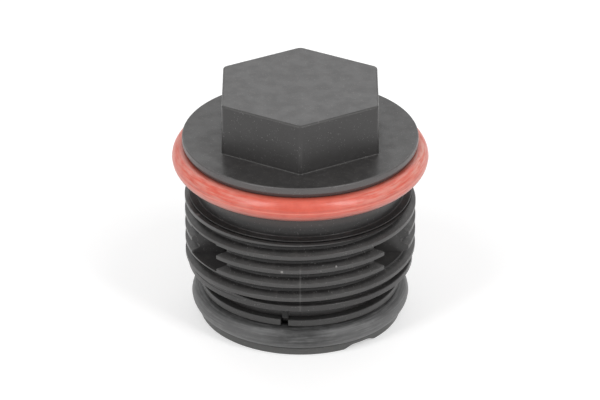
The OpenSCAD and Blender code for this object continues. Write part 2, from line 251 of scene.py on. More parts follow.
def add_thread(bm):
    """One pitch spun up through a turn, stacked, welded and cut level at both ends."""
    crest = FRONT_CREST - PITCH * FRONT / 360 - 2 * PITCH
    half_root = (PITCH - CREST_W) / 2 - FLANK_W
    low = crest - FLANK_W - half_root
    edges = outline(bm, rounded([
        (ROOT_R, low, 0), (ROOT_R, crest - FLANK_W, ROOT_EDGE), (THREAD_R, crest, CREST_EDGE),
        (THREAD_R, crest + CREST_W, CREST_EDGE), (ROOT_R, crest + CREST_W + FLANK_W, ROOT_EDGE),
        (ROOT_R, low + PITCH, 0)]))
    verts = list({v for e in edges for v in e.verts})
    bmesh.ops.spin(
        bm, geom=verts + edges, cent=(0, 0, 0), axis=(0, 0, 1), dvec=(0, 0, PITCH / TURN_STEPS),
        angle=math.tau, steps=TURN_STEPS, use_merge=False, use_duplicate=False)
    one_turn = list(bm.verts) + list(bm.edges) + list(bm.faces)
    for turn in range(1, THREAD_TURNS):
        copy = bmesh.ops.duplicate(bm, geom=one_turn)["geom"]
        raised = [v for v in copy if isinstance(v, bmesh.types.BMVert)]
        bmesh.ops.translate(bm, vec=(0, 0, turn * PITCH), verts=raised)
    bmesh.ops.remove_doubles(bm, verts=bm.verts, dist=THREAD_WELD)
    for height, below, above in ((THREAD_FOOT + RELIEF, True, False), (NECK_FOOT - RELIEF, False, True)):
        everything = list(bm.verts) + list(bm.edges) + list(bm.faces)
        bmesh.ops.bisect_plane(
            bm, geom=everything, dist=LEVEL_SLACK / 2, plane_co=(0, 0, height), plane_no=(0, 0, 1),
            clear_inner=below, clear_outer=above)
    print("thread:", len(bm.faces), "faces between", THREAD_FOOT + RELIEF, "and", NECK_FOOT - RELIEF)


# %% [markdown]
# Below and above the thread the moulding is plain turned work, so two outlines are enough. The
# lower one runs from the plain strip under the thread, round the collar and the open end, and
# up inside through the bore, over the guide tube and into the hollow of the head. The collar's
# underside rises a little towards its edge, as a mould needs to let go of it.

# %% Sizes of the turned stretches
COLLAR_R, COLLAR_FOOT, COLLAR_DRAFT = 22.0, 10.7, 0.2
SPIGOT_R, SPIGOT_FOOT = 18.2, 7.6
BORE_R, SNAP_R = 16.6, 17.0
TUBE_R, GUIDE_R, TUBE_FOOT = 14.0, 12.1, 24.0
CEILING, HOLLOW_TOP = 33.5, 44.5
STEP_R, STEP_H = 21.7, 0.25
NECK_R = 20.2
FLANGE_FOOT, FLANGE_TOP = 35.9, 38.0
FLANGE_TAPER_W, FLANGE_TAPER_H = 0.45, 0.85
HEAD_CLEAR_R = 18.6
print("neck", NECK_R * 2, "mm across, flange", round(flange_r * 2, 1), "mm across")

# %% The turned stretches


def add_lower_end(bm):
    """Strip, collar, open end, bore, guide tube and hollow."""
    spin_once(bm, outline(bm, rounded([
        (STRIP_R, THREAD_FOOT + RELIEF, 0), (STRIP_R, THREAD_FOOT, 0.05),
        (COLLAR_R, THREAD_FOOT, 0.18), (COLLAR_R, COLLAR_FOOT + COLLAR_DRAFT, 0.18),
        (SPIGOT_R, COLLAR_FOOT, 0.3), (SPIGOT_R, SPIGOT_FOOT, 0.15), (BORE_R, SPIGOT_FOOT, 0.12),
        (BORE_R, COLLAR_FOOT, 0.05), (SNAP_R, COLLAR_FOOT, 0.1),
        (SNAP_R, THREAD_FOOT, 0.1), (BORE_R, THREAD_FOOT, 0.05),
        (BORE_R, CEILING, 0.5), (TUBE_R, CEILING, 0.5), (TUBE_R, TUBE_FOOT, 0.3),
        (GUIDE_R, TUBE_FOOT, 0.3), (GUIDE_R, HOLLOW_TOP, 0.8), (0, HOLLOW_TOP, 0)])))
    print("with the lower end:", len(bm.faces), "faces")


def add_neck_and_flange(bm):
    """Strip, low step, neck and the flange's underside, rim and upper face."""
    spin_once(bm, outline(bm, rounded([
        (STRIP_R, NECK_FOOT - RELIEF, 0), (STRIP_R, NECK_FOOT, 0.04), (STEP_R, NECK_FOOT, 0.05),
        (STEP_R, NECK_FOOT + STEP_H, 0.1), (NECK_R, NECK_FOOT + STEP_H, 0.2),
        (NECK_R, FLANGE_FOOT, 0.3), (flange_r - FLANGE_TAPER_W, FLANGE_FOOT, 0.15),
        (flange_r, FLANGE_FOOT + FLANGE_TAPER_H, 0.5), (flange_r, FLANGE_TOP, 0.32),
        (HEAD_CLEAR_R, FLANGE_TOP, 0)])))
    print("with neck and flange:", len(bm.faces), "faces")


# %% [markdown]
# The hexagon takes a 30 mm spanner. A cylinder with six sides would do from afar, but the real
# one has a small fillet at its foot, drafted flats and a rounded top edge. So one six-sided
# ring is extruded level by level and made a little narrower at each, and its six uprights are
# bevelled together at the end. The open ring between hexagon and flange is filled afterwards.

# %% Sizes of the hexagon
HEAD_AF, HEAD_DRAFT = 30.0, 0.1
HEAD_EDGE_R = 0.95
HEAD_FILLET = 0.25
HEAD_RIM = 0.4
ROUND_STEPS = 4
UPRIGHT_STEPS = 6


def hexagon_levels():
    """Half width across flats and height of each level, from the fillet to the top."""
    foot, top = HEAD_AF / 2, (HEAD_AF - HEAD_DRAFT) / 2
    quarter = [math.pi / 2 * i / ROUND_STEPS for i in range(ROUND_STEPS + 1)]
    fillet = [(foot + HEAD_FILLET * (1 - math.sin(a)), FLANGE_TOP + HEAD_FILLET * (1 - math.cos(a)))
              for a in quarter]
    rim = [(top - HEAD_RIM * (1 - math.cos(a)), body_top - HEAD_RIM * (1 - math.sin(a)))
           for a in quarter]
    return fillet + rim


print("hexagon in", len(hexagon_levels()), "levels")

# %% The hexagon


def extrude_ring(bm, ring):
    """Extrudes a closed ring of edges and returns the new ring's points and edges."""
    grown = bmesh.ops.extrude_edge_only(bm, edges=ring)["geom"]
    verts = [g for g in grown if isinstance(g, bmesh.types.BMVert)]
    fresh = set(verts)
    return verts, [g for g in grown if isinstance(g, bmesh.types.BMEdge) and set(g.verts) <= fresh]


def add_hexagon(bm):
    """Six-sided ring lofted from the flange to the closed top."""
    levels = hexagon_levels()
    half, height = levels[0]
    started = bmesh.ops.create_circle(
        bm, cap_ends=False, radius=half / math.cos(math.pi / 6), segments=6)["verts"]
    bmesh.ops.translate(bm, vec=(0, 0, height), verts=started)
    ring = list({e for v in started for e in v.link_edges})
    uprights = []
    for next_half, next_height in levels[1:]:
        verts, ring = extrude_ring(bm, ring)
        narrower = next_half / half
        bmesh.ops.scale(bm, vec=(narrower, narrower, 1), verts=verts)
        bmesh.ops.translate(bm, vec=(0, 0, next_height - height), verts=verts)
        uprights += [e for v in verts for e in v.link_edges if e.other_vert(v) not in set(verts)]
        half, height = next_half, next_height
    bmesh.ops.contextual_create(bm, geom=ring)
    bmesh.ops.bevel(
        bm, geom=uprights, offset=HEAD_EDGE_R * math.tan(math.pi / 6), offset_type="OFFSET",
        segments=UPRIGHT_STEPS, profile=0.5, affect="EDGES", material=-1)
    print("hexagon with", len(uprights), "pieces of upright bevelled")


# %% Closing a level


def close_level(bm, height):
    """Fills the flat ring between the open edges that lie at one height."""
    rims = [e for e in bm.edges if e.is_boundary and all(
        abs(v.co.z - height) < LEVEL_SLACK for v in e.verts)]
    filled = bmesh.ops.triangle_fill(bm, use_beauty=True, use_dissolve=False, edges=rims)["geom"]
    print("level", height, "closed over", len(rims), "open edges with", len(filled), "new parts")


# %% [markdown]
# Where the two halves of the mould met, plastic crept into the gap and left a fine ridge down
# the front and the back. A bump in the material could hint at it, but a line that breaks the
# outline of the crests has to be real. The skin is split on both sides of the meeting plane,
# and the points on the plane are pushed out by a few hundredths of a millimetre.

# %% The mould's seam
SEAM_HALF_W, SEAM_REACH = 0.1, 1.2
SEAM_LOW, SEAM_CLEAR, SEAM_HIGH = 9.9, 20.2, 35.9
SEAM_PROUD, SEAM_FAINT = 0.075, 0.02
OUTSIDE_R = SPIGOT_R - 0.1
ON_PLANE = 1e-3


def raise_seam(bm):
    """Ridge along the mould's meeting plane, clear below and faint above."""
    for side in (-SEAM_HALF_W, SEAM_HALF_W):
        near = [f for f in bm.faces if all(
            abs(v.co.x) < SEAM_REACH and v.co.xy.length > OUTSIDE_R and v.co.z < SEAM_HIGH for v in f.verts)]
        parts = list({v for f in near for v in f.verts}) + list({e for f in near for e in f.edges}) + near
        bmesh.ops.bisect_plane(
            bm, geom=parts, dist=1e-5, plane_co=(side, 0, 0), plane_no=(1, 0, 0))
    raised = 0
    for v in bm.verts:
        out = v.co.xy.length
        if abs(v.co.x) < ON_PLANE and out > OUTSIDE_R and SEAM_LOW < v.co.z < SEAM_HIGH:
            proud = SEAM_PROUD if v.co.z < SEAM_CLEAR else SEAM_FAINT
            v.co.xy *= (out + proud) / out
            raised += 1
    print("seam:", raised, "points raised")


# %% [markdown]
# Two straight slots cross the threaded wall from side to side and make four windows, which let
# the gas out. Their edges cut through the thread at any angle, so the Exact boolean does what
# no loop cut could: a plain block is taken away, and the result replaces the mesh at once. The
# small rib that locks the housing against turning is joined on in the same way.

# %% Cutting and joining


def block(name, low, high, turned_by=0.0):
    """A plain block between two corners, turned about the axis, used only to cut or join."""
    bm = bmesh.new()
    bmesh.ops.create_cube(bm, size=1.0)
    bmesh.ops.scale(bm, vec=Vector(high) - Vector(low), verts=bm.verts)
    bmesh.ops.translate(bm, vec=(Vector(high) + Vector(low)) / 2, verts=bm.verts)
    bmesh.ops.rotate(
        bm, cent=(0, 0, 0), matrix=Matrix.Rotation(math.radians(turned_by), 3, "Z"), verts=bm.verts)
    return as_object(bm, name)


def carve(piece, cutter, operation="DIFFERENCE"):
    """Cuts a piece with another, or joins the other to it, and keeps only the result."""
    change = piece.modifiers.new("carve", "BOOLEAN")
    change.operation = operation
    change.solver = "EXACT"
    change.object = cutter
    bpy.context.view_layer.update()
    seen = piece.evaluated_get(bpy.context.evaluated_depsgraph_get())
    carved = bpy.data.meshes.new_from_object(seen)
    piece.modifiers.clear()
    old = piece.data
    piece.data = carved
    print(piece.name, operation.lower(), cutter.name, "leaves", len(carved.polygons), "faces")
    bpy.data.meshes.remove(old)
    bpy.data.objects.remove(cutter)


# %% Windows and rib
WINDOW_LOW, WINDOW_HIGH = 16.2, 22.2
WINDOW_NEAR, WINDOW_FAR = 8.1, 15.7
RIB_W, RIB_H, RIB_TURN = 1.1, 0.6, -9.0
RIB_SUNK, RIB_OVERLAP, RIB_GAP = 0.3, 0.2, 0.05
GROOVE_R = 16.95


def cut_windows(body):
    """Two slots right across the wall, one before the axis and one behind it."""
    reach = 2 * THREAD_R
    for near, far in ((-WINDOW_FAR, -WINDOW_NEAR), (WINDOW_NEAR, WINDOW_FAR)):
        carve(body, block("slot", (-reach, near, WINDOW_LOW), (reach, far, WINDOW_HIGH)))


def add_rib(body):
    """Rib between collar and housing, with a tongue that stands in the housing's slot."""
    carve(body, block(
        "rib", (-RIB_W / 2, -SPIGOT_R - RIB_H, SPIGOT_FOOT),
        (RIB_W / 2, RIB_SUNK - SPIGOT_R, COLLAR_FOOT + RIB_GAP), RIB_TURN), "UNION")
    carve(body, block(
        "tongue", (-RIB_W / 2, RIB_SUNK - SPIGOT_R, body_foot),
        (RIB_W / 2, -GROOVE_R - RIB_GAP, SPIGOT_FOOT + RIB_OVERLAP), RIB_TURN), "UNION")


print("windows", round(WINDOW_HIGH - WINDOW_LOW, 1), "mm high, rib at", RIB_TURN, "degrees from the front")

# %% [markdown]
# The last groove of the thread runs out to the left of the front, where crest and collar merge.
# A boolean with a curved wedge fills it. The wedge is lofted like the hexagon: one section is
# extruded step by step round the axis, and its upper points rise with a soft start and follow
# the crest down after that. Little balls of flash, as a worn mould leaves them, are joined too.

# %% Sizes of the run-out
RUN_OUT_TURN, RUN_OUT_START, RUN_OUT_RAMP = 140.0, 12.0, 40.0
RUN_OUT_STEPS = 70
RUN_OUT_R = 21.93
RUN_OUT_EDGE_W, RUN_OUT_EDGE_H = 0.2, 0.15
RUN_OUT_SUNK = 0.4
RUN_OUT_FOOT, RUN_OUT_START_H = THREAD_FOOT - 0.4, THREAD_FOOT - 0.1
RUN_OUT_LAP = 0.25


def run_out_top(turn):
    """Height of the wedge's top at a turn from the front, in degrees."""
    crest_foot = FRONT_CREST - PITCH * turn / 360
    share = min(1.0, max(0.0, (turn - RUN_OUT_START) / RUN_OUT_RAMP))
    rise = (1 - math.cos(math.pi * share)) / 2
    return RUN_OUT_START_H + (crest_foot + RUN_OUT_LAP - THREAD_FOOT) * rise


print("run-out height at 0, 45 and 140 degrees:", [round(run_out_top(turn), 2) for turn in (0, 45, 140)])

# %% Run-out and flash
FLASH_SPECKS = ((-3.5, 19.72, 0.16), (6.86, 20.56, 0.15), (6.0, 37.85, 0.14), (8.4, 37.8, 0.12))


def add_run_out(body):
    """Wedge that fills the last groove up to the crest above it."""
    bm = bmesh.new()
    top = run_out_top(0)
    ring = outline(bm, [
        (STRIP_R - RUN_OUT_SUNK, RUN_OUT_FOOT), (RUN_OUT_R, RUN_OUT_FOOT),
        (RUN_OUT_R, top - RUN_OUT_EDGE_H), (RUN_OUT_R - RUN_OUT_EDGE_W, top),
        (STRIP_R - RUN_OUT_SUNK, top)], closed=True)
    verts = list(bm.verts)
    to_front = Matrix.Rotation(math.radians(FRONT), 3, "Z")
    one_step = Matrix.Rotation(math.radians(-RUN_OUT_TURN / RUN_OUT_STEPS), 3, "Z")
    bmesh.ops.rotate(bm, cent=(0, 0, 0), matrix=to_front, verts=verts)
    bmesh.ops.contextual_create(bm, geom=ring)
    for step in range(1, RUN_OUT_STEPS + 1):
        next_top = run_out_top(RUN_OUT_TURN * step / RUN_OUT_STEPS)
        verts, ring = extrude_ring(bm, ring)
        upper = [v for v in verts if v.co.z > RUN_OUT_FOOT + ON_PLANE]
        bmesh.ops.rotate(bm, cent=(0, 0, 0), matrix=one_step, verts=verts)
        bmesh.ops.translate(bm, vec=(0, 0, next_top - top), verts=upper)
        top = next_top
    bmesh.ops.contextual_create(bm, geom=ring)
    bmesh.ops.recalc_face_normals(bm, faces=bm.faces)
    carve(body, as_object(bm, "run_out"), "UNION")


def add_flash(body):
    """Specks of flash, each with its distance to the right, its height and its radius."""
    bm = bmesh.new()
    for aside, height, size in FLASH_SPECKS:
        out = flange_r if height > FLANGE_FOOT else THREAD_R
        place = Vector((aside, -math.sqrt(out ** 2 - aside ** 2), height))
        bmesh.ops.create_icosphere(bm, subdivisions=2, radius=size, matrix=Matrix.Translation(place))
    carve(body, as_object(bm, "specks"), "UNION")


print(len(FLASH_SPECKS), "specks of flash")

# %% The whole body


def make_body():
    """The whole moulding as one closed skin."""
    bm = bmesh.new()
    add_thread(bm)
    add_lower_end(bm)
    add_neck_and_flange(bm)
    add_hexagon(bm)
    bmesh.ops.remove_doubles(bm, verts=bm.verts, dist=WELD)
    for height in (THREAD_FOOT + RELIEF, NECK_FOOT - RELIEF, FLANGE_TOP):
        close_level(bm, height)
    raise_seam(bm)
    tidy_skin(bm)
    body = as_object(bm, "moulded_body")
    cut_windows(body)
    add_rib(body)
    add_run_out(body)
    add_flash(body)
    shade(body)
    return body


body_piece = make_body()

# %% [markdown]
# The two seal rings are cords bent into rings. A torus would be the quick way, but a rubber
# ring is moulded in two halves, and its parting line runs round the outside as a thin ridge.
# So a circle is split at that line, the points on it are pushed out, and the circle is spun.
# Each ring is pressed flat where it grips its seat, which a cut plane does in one step.

# %% Seal rings
CORD_SIDES = 60
PARTING_W, PARTING_PROUD = 0.09, 0.035
ON_CUT = 1e-4
SOFT_ANGLE = math.radians(60)


def ring_middle(low, high, outer_r):
    """Radius and height of the middle of a ring's cord."""
    return outer_r - (high - low) / 2, (high + low) / 2


def split_section(bm, place, direction, **clear):
    """Cuts a flat section along a plane."""
    section = list(bm.verts) + list(bm.edges)
    bmesh.ops.bisect_plane(bm, geom=section, dist=1e-6, plane_co=place, plane_no=direction, **clear)


def make_ring(name, low, high, outer_r, seat_r):
    """A round cord as a ring, with a parting line outside and a flat on its seat."""
    middle_r, height = ring_middle(low, high, outer_r)
    bm = bmesh.new()
    verts = bmesh.ops.create_circle(
        bm, cap_ends=False, radius=(high - low) / 2 - PARTING_PROUD, segments=CORD_SIDES)["verts"]
    bmesh.ops.rotate(bm, verts=verts, cent=(0, 0, 0), matrix=Matrix.Rotation(math.pi / 2, 3, "X"))
    bmesh.ops.translate(bm, verts=verts, vec=(middle_r, 0, height))
    for side in (-PARTING_W, 0, PARTING_W):
        split_section(bm, (0, 0, height + side), (0, 0, 1))
    for v in bm.verts:
        if abs(v.co.z - height) < ON_CUT and v.co.x > middle_r:
            v.co.x += PARTING_PROUD
    split_section(bm, (seat_r, 0, 0), (1, 0, 0), clear_inner=True)
    bmesh.ops.contextual_create(bm, geom=[v for v in bm.verts if abs(v.co.x - seat_r) < ON_CUT])
    spin_once(bm, list(bm.edges))
    tidy_skin(bm)
    piece = as_object(bm, name)
    shade(piece, SOFT_ANGLE)
    return piece


red_piece = make_ring("flange_silicone_ring", ring_low, ring_high, red_r, NECK_R)
black_piece = make_ring("neck_rubber_ring", cord_low, cord_high, black_r, GROOVE_R)
print("cords", round(ring_high - ring_low, 2), "and", round(cord_high - cord_low, 2), "mm thick")

# %% [markdown]
# The valve housing is snapped into the body's open end. From below it is the lip that the cap
# stands on, then the groove for the black ring, the thin keeper ring and the sleeve with its
# snap bead, and inside it the floor with a raised seat round the mouth to the tank. It could
# be stacked from tubes, but one closed outline gives one closed skin, with nothing to join.

# %% Sizes of the valve housing
LIP_T, LIP_DISH, LIP_DISH_W = 1.3, 0.2, 1.5
KEEPER_LOW, KEEPER_HIGH, KEEPER_R = 6.2, 7.6, 19.6
SLEEVE_R = BORE_R - 0.05
BEAD_R, BEAD_HEIGHT = 0.4, COLLAR_FOOT + 0.7
HOUSING_BORE_R = foot_r + 1.4
RECESS_R = GROOVE_R - 1.0
MOUTH_R = 9.5
SEAT_IN_R, SEAT_OUT_R = 9.8, 10.8
FLOOR_HIGH = gasket_low - 1.0
FLOOR_LOW = FLOOR_HIGH - 1.4
print("floor from", round(FLOOR_LOW, 2), "to", round(FLOOR_HIGH, 2), "seat at", round(gasket_low, 2))

# %% The notch in the lip
NOTCH_TURN, NOTCH_LENGTH, NOTCH_DEPTH = 36.0, 8.6, 0.8
NOTCH_STEPS, NOTCH_BELOW = 14, -1.0


def notch_cutter():
    """Long low form with eased ends, pushed out through the lip."""
    ramp = NOTCH_LENGTH / 3
    shares = [i / NOTCH_STEPS for i in range(NOTCH_STEPS + 1)]
    left = [(ramp * t - NOTCH_LENGTH / 2, NOTCH_DEPTH * ((1 - math.cos(math.pi * t)) / 2)) for t in shares]
    right = [(-x, z) for x, z in reversed(left)]
    below = [(NOTCH_LENGTH / 2, NOTCH_BELOW), (-NOTCH_LENGTH / 2, NOTCH_BELOW)]
    bm = bmesh.new()
    bmesh.ops.contextual_create(bm, geom=outline(bm, left + right + below, closed=True))
    bmesh.ops.translate(bm, vec=(0, -RECESS_R, 0), verts=bm.verts)
    pushed = bmesh.ops.extrude_face_region(bm, geom=list(bm.faces))["geom"]
    moved = [g for g in pushed if isinstance(g, bmesh.types.BMVert)]
    bmesh.ops.translate(bm, vec=(0, -2 * (lip_r - RECESS_R), 0), verts=moved)
    bmesh.ops.rotate(
        bm, verts=bm.verts, cent=(0, 0, 0), matrix=Matrix.Rotation(math.radians(NOTCH_TURN), 3, "Z"))
    bmesh.ops.recalc_face_normals(bm, faces=bm.faces)
    return as_object(bm, "notch")


print("notch", NOTCH_LENGTH, "mm long at", NOTCH_TURN, "degrees from the front")

# %% The valve housing
SLOT_W, SLOT_BELOW, SLOT_ABOVE = 1.5, 0.05, 0.2


def make_housing():
    """Turned housing with the slot through its keeper ring and the notch in its lip."""
    bm = bmesh.new()
    spin_once(bm, outline(bm, rounded([
        (MOUTH_R, FLOOR_LOW, 0.25), (RECESS_R, FLOOR_LOW, 0.4), (RECESS_R, lip_foot, 0.15),
        (lip_r, lip_foot, 0.2), (lip_r, LIP_T + LIP_DISH, 0.12), (GROOVE_R + LIP_DISH_W, LIP_T, 0.5),
        (GROOVE_R, LIP_T, 0.2), (GROOVE_R, KEEPER_LOW, 0.2), (KEEPER_R, KEEPER_LOW, 0.18),
        (KEEPER_R, KEEPER_HIGH, 0.2), (SLEEVE_R, KEEPER_HIGH, 0.1), (SLEEVE_R, BEAD_HEIGHT - BEAD_R, 0.15),
        (SLEEVE_R + BEAD_R, BEAD_HEIGHT, 0.12), (SLEEVE_R, BEAD_HEIGHT + BEAD_R, 0.15),
        (SLEEVE_R, sleeve_top, 0.3), (HOUSING_BORE_R, sleeve_top, 0.3),
        (HOUSING_BORE_R, FLOOR_HIGH, 0.5), (SEAT_OUT_R, FLOOR_HIGH, 0.2),
        (SEAT_OUT_R, gasket_low, 0.12), (SEAT_IN_R, gasket_low, 0.12),
        (SEAT_IN_R, FLOOR_HIGH, 0.05), (MOUTH_R, FLOOR_HIGH, 0.05)], closed=True), closed=True))
    tidy_skin(bm)
    housing = as_object(bm, "snap_in_housing")
    carve(housing, block(
        "slot", (-SLOT_W / 2, -lip_r, KEEPER_LOW - SLOT_BELOW),
        (SLOT_W / 2, -GROOVE_R, KEEPER_HIGH + SLOT_ABOVE), RIB_TURN))
    carve(housing, notch_cutter())
    shade(housing)
    return housing


housing_piece = make_housing()

# %% [markdown]
# Inside the housing sits the pressure valve: a moulded piston whose skirt slides in the body's
# guide tube, with slots that let the gas out. Six small holes in its foot lead to the vacuum
# valve. Round holes could be part of a lofted mesh, but that ties every face near them to
# their circle, so the piston is turned whole, and upright pegs and blocks are cut out of it.

# %% Turned pieces and peg holes


def turned(name, corners, closed=True, steps=TURN_STEPS):
    """A turned piece from its outline, not shaded yet."""
    bm = bmesh.new()
    spin_once(bm, outline(bm, rounded(corners, closed), closed), steps)
    tidy_skin(bm)
    return as_object(bm, name)


def pegs(name, count, circle_r, peg_r, low, high, sides=32):
    """Upright round cutters in a circle."""
    bm = bmesh.new()
    for i in range(count):
        place = Matrix.Rotation(math.tau * i / count, 4, "Z") @ Matrix.Translation(
            (circle_r, 0, (low + high) / 2))
        bmesh.ops.create_cone(
            bm, cap_ends=True, segments=sides, radius1=peg_r, radius2=peg_r, depth=high - low, matrix=place)
    return as_object(bm, name)


STEM_R = clip_r - 2.8
HOLE_R = STEM_R + 0.15
PUSH_THROUGH = 1.0
print("stem radius", round(STEM_R, 2), "in a hole of", round(HOLE_R, 2))

# %% The piston
SKIRT_R = GUIDE_R - 0.3
SKIRT_IN_R = SKIRT_R - 1.3
HUB_R, HUB_H = 2.3, 2.5
VENTS, VENT_R, VENT_CIRCLE_R = 6, 0.75, 4.6
SKIRT_SLOT_W, SKIRT_SLOT_H, SKIRT_SLOT_LOW = 4.5, 4.0, 1.0


def make_piston():
    """Foot, skirt and hub in one moulding, with vents and slots."""
    foot_low, foot_high = gasket_high, coil_low
    piston = turned("pressure_valve_piston", [
        (HOLE_R, foot_low, 0.1), (gasket_r, foot_low, 0.1), (gasket_r, piston_foot, 0.1),
        (foot_r, piston_foot, 0.2), (foot_r, foot_high, 0.25), (SKIRT_R, foot_high, 0.4),
        (SKIRT_R, skirt_top, 0.3), (SKIRT_IN_R, skirt_top, 0.3), (SKIRT_IN_R, foot_high, 0.3),
        (HUB_R, foot_high, 0.15), (HUB_R, foot_high + HUB_H, 0.25), (HOLE_R, foot_high + HUB_H, 0.15)])
    carve(piston, pegs(
        "vents", VENTS, VENT_CIRCLE_R, VENT_R, foot_low - PUSH_THROUGH, foot_high + PUSH_THROUGH))
    slot_low = foot_high + SKIRT_SLOT_LOW
    slot_high = slot_low + SKIRT_SLOT_H
    long, half = 2 * SKIRT_R, SKIRT_SLOT_W / 2
    for turn in (0.0, 90.0):
        carve(piston, block("slot", (-long, -half, slot_low), (long, half, slot_high), turn))
    shade(piston)
    return piston


piston_piece = make_piston()

# %% [markdown]
# The gasket is a flat rubber ring, the vacuum valve a brass disc turned in one with its stem,
# and the clip a thin spring ring whose tabs bite into that stem. All three are small outlines.
# The clip's tabs could be bent one by one, but round gaps cut along its hole read the same.

# %% Gasket, disc and clip
GASKET_HOLE_R = 5.6
DISC_DIMPLE_R, DISC_DIMPLE_H, DISC_EDGE = 0.45, 0.25, 0.4
STEM_TAPER_H, STEM_STEPS = 0.6, 120
CLIP_TABS, CLIP_GAP_OUT, CLIP_GAP_R, CLIP_STEPS = 6, 0.55, 0.26, 96

gasket_piece = turned("valve_face_gasket", [
    (GASKET_HOLE_R, gasket_low, 0.12), (gasket_r, gasket_low, 0.12),
    (gasket_r, gasket_high, 0.12), (GASKET_HOLE_R, gasket_high, 0.12)])
shade(gasket_piece)
disc_piece = turned("vacuum_valve_disc", [
    (0, disc_low + DISC_DIMPLE_H, 0), (DISC_DIMPLE_R, disc_low, 0.1), (disc_r - DISC_EDGE, disc_low, 0.1),
    (disc_r, disc_low + DISC_EDGE, 0.1), (disc_r, gasket_low, 0.1), (STEM_R, gasket_low, 0.15),
    (STEM_R, stem_top - STEM_TAPER_H, 0.1), (STEM_R / 2, stem_top, 0.1), (0, stem_top, 0)],
    closed=False, steps=STEM_STEPS)
shade(disc_piece)
clip_piece = turned("stem_clip", [
    (STEM_R, clip_low, 0.05), (clip_r, clip_low, 0.12), (clip_r, clip_high, 0.12),
    (STEM_R, clip_high, 0.05)], steps=CLIP_STEPS)
carve(clip_piece, pegs(
    "gaps", CLIP_TABS, STEM_R + CLIP_GAP_OUT, CLIP_GAP_R, clip_low - PUSH_THROUGH, clip_high + PUSH_THROUGH))
shade(clip_piece)
print("gasket, disc and clip made")

# %% [markdown]
# Both springs are wound wire. A curve with a bevel could follow a helix, but its ends stay
# open. Here the wire's round section is spun about the axis while it climbs, slowly for the
# closed coil at each end and faster for the open coils between, and then its two cut ends are
# filled and given a small bevel.

# %% Springs
CLOSED_RISE = 1.02
CUT_BEVEL = 0.15


def wind(name, low, high, outer_r, wire_r, coils, steps, sides):
    """A compression spring between two heights, with one closed coil at each end."""
    bm = bmesh.new()
    ring = bmesh.ops.create_circle(bm, cap_ends=False, radius=wire_r, segments=sides)["verts"]
    bmesh.ops.rotate(bm, verts=ring, cent=(0, 0, 0), matrix=Matrix.Rotation(math.pi / 2, 3, "X"))
    bmesh.ops.translate(bm, verts=ring, vec=(outer_r - wire_r, 0, low + wire_r))
    wire = 2 * wire_r
    closed = wire * CLOSED_RISE
    opened = (high - low - wire - 2 * closed) / (coils - 2)
    section = list(ring) + list({e for v in ring for e in v.link_edges})
    for turns, rise in ((1, closed), (coils - 2, opened), (1, closed)):
        section = bmesh.ops.spin(
            bm, geom=section, cent=(0, 0, 0), axis=(0, 0, 1), dvec=(0, 0, rise / steps),
            angle=math.tau * turns, steps=steps * turns, use_merge=False, use_duplicate=False)["geom_last"]
    bmesh.ops.holes_fill(bm, edges=[e for e in bm.edges if e.is_boundary], sides=0)
    rims = list({e for f in bm.faces if len(f.verts) == sides for e in f.edges})
    bmesh.ops.bevel(
        bm, geom=rims, offset=wire_r * CUT_BEVEL, offset_type="OFFSET", segments=2, profile=0.5,
        affect="EDGES", material=-1)
    tidy_skin(bm)
    spring = as_object(bm, name)
    shade(spring)
    return spring


MAIN_WIRE_R, SMALL_WIRE_R = 0.8, 0.25
main_spring = wind(
    "main_valve_spring", coil_low, coil_high, coil_r, MAIN_WIRE_R, coils=8, steps=64, sides=16)
small_spring = wind(
    "small_valve_spring", small_low, small_high, small_r, SMALL_WIRE_R, coils=6, steps=40, sides=10)
print("springs stand", round(coil_high - coil_low, 2), "and", round(small_high - small_low, 2), "mm tall")

# %% [markdown]
# Painted textures could dress the cap, but they blur when a camera comes close, so all
# surfaces are procedural. Wiring nodes by hand takes many lines. A few small helpers keep it
# short: each adds one node, connects what it is given and returns its output, so that a
# pattern reads like a sum. Lengths inside the shaders are millimetres too.

# %% Wiring helpers


def add_node(tree, kind, **settings):
    """One node with its plain settings."""
    node = tree.nodes.new(kind)
    for key, value in settings.items():
        setattr(node, key, value)
    return node


def feed(tree, socket, value):
    """Connects an output to a socket, or types a plain value into it."""
    if isinstance(value, bpy.types.NodeSocket):
        tree.links.new(value, socket)
    elif value is not None:
        socket.default_value = value


def maths(tree, operation, a, b=None, clamp=False):
    """Arithmetic on one or two values."""
    node = add_node(tree, "ShaderNodeMath", operation=operation, use_clamp=clamp)
    feed(tree, node.inputs[0], a)
    feed(tree, node.inputs[1], b)
    return node.outputs[0]


def spread(tree, value, low, high, to_low=0.0, to_high=1.0, kind="SMOOTHSTEP"):
    """Maps a value from one range to another with soft ends."""
    node = add_node(tree, "ShaderNodeMapRange", interpolation_type=kind)
    for socket, given in zip(node.inputs, (value, low, high, to_low, to_high)):
        feed(tree, socket, given)
    return node.outputs[0]


print("helpers for numbers ready")

# %% Helpers for patterns and colours


def noise(tree, vector, scale, detail=3.0, roughness=0.55):
    """Cloudy noise, about 0.5 on average."""
    node = add_node(tree, "ShaderNodeTexNoise")
    for label, value in (("Vector", vector), ("Scale", scale), ("Detail", detail), ("Roughness", roughness)):
        feed(tree, node.inputs[label], value)
    return node.outputs["Fac"]


def stretched(tree, x, y, z):
    """A vector from three values."""
    node = add_node(tree, "ShaderNodeCombineXYZ")
    for socket, given in zip(node.inputs, (x, y, z)):
        feed(tree, socket, given)
    return node.outputs[0]


def blended(tree, share, first, second):
    """Mixes two colours by a share."""
    node = add_node(tree, "ShaderNodeMix", data_type="RGBA")
    feed(tree, node.inputs[0], share)
    feed(tree, node.inputs[6], first)
    feed(tree, node.inputs[7], second)
    return node.outputs[2]


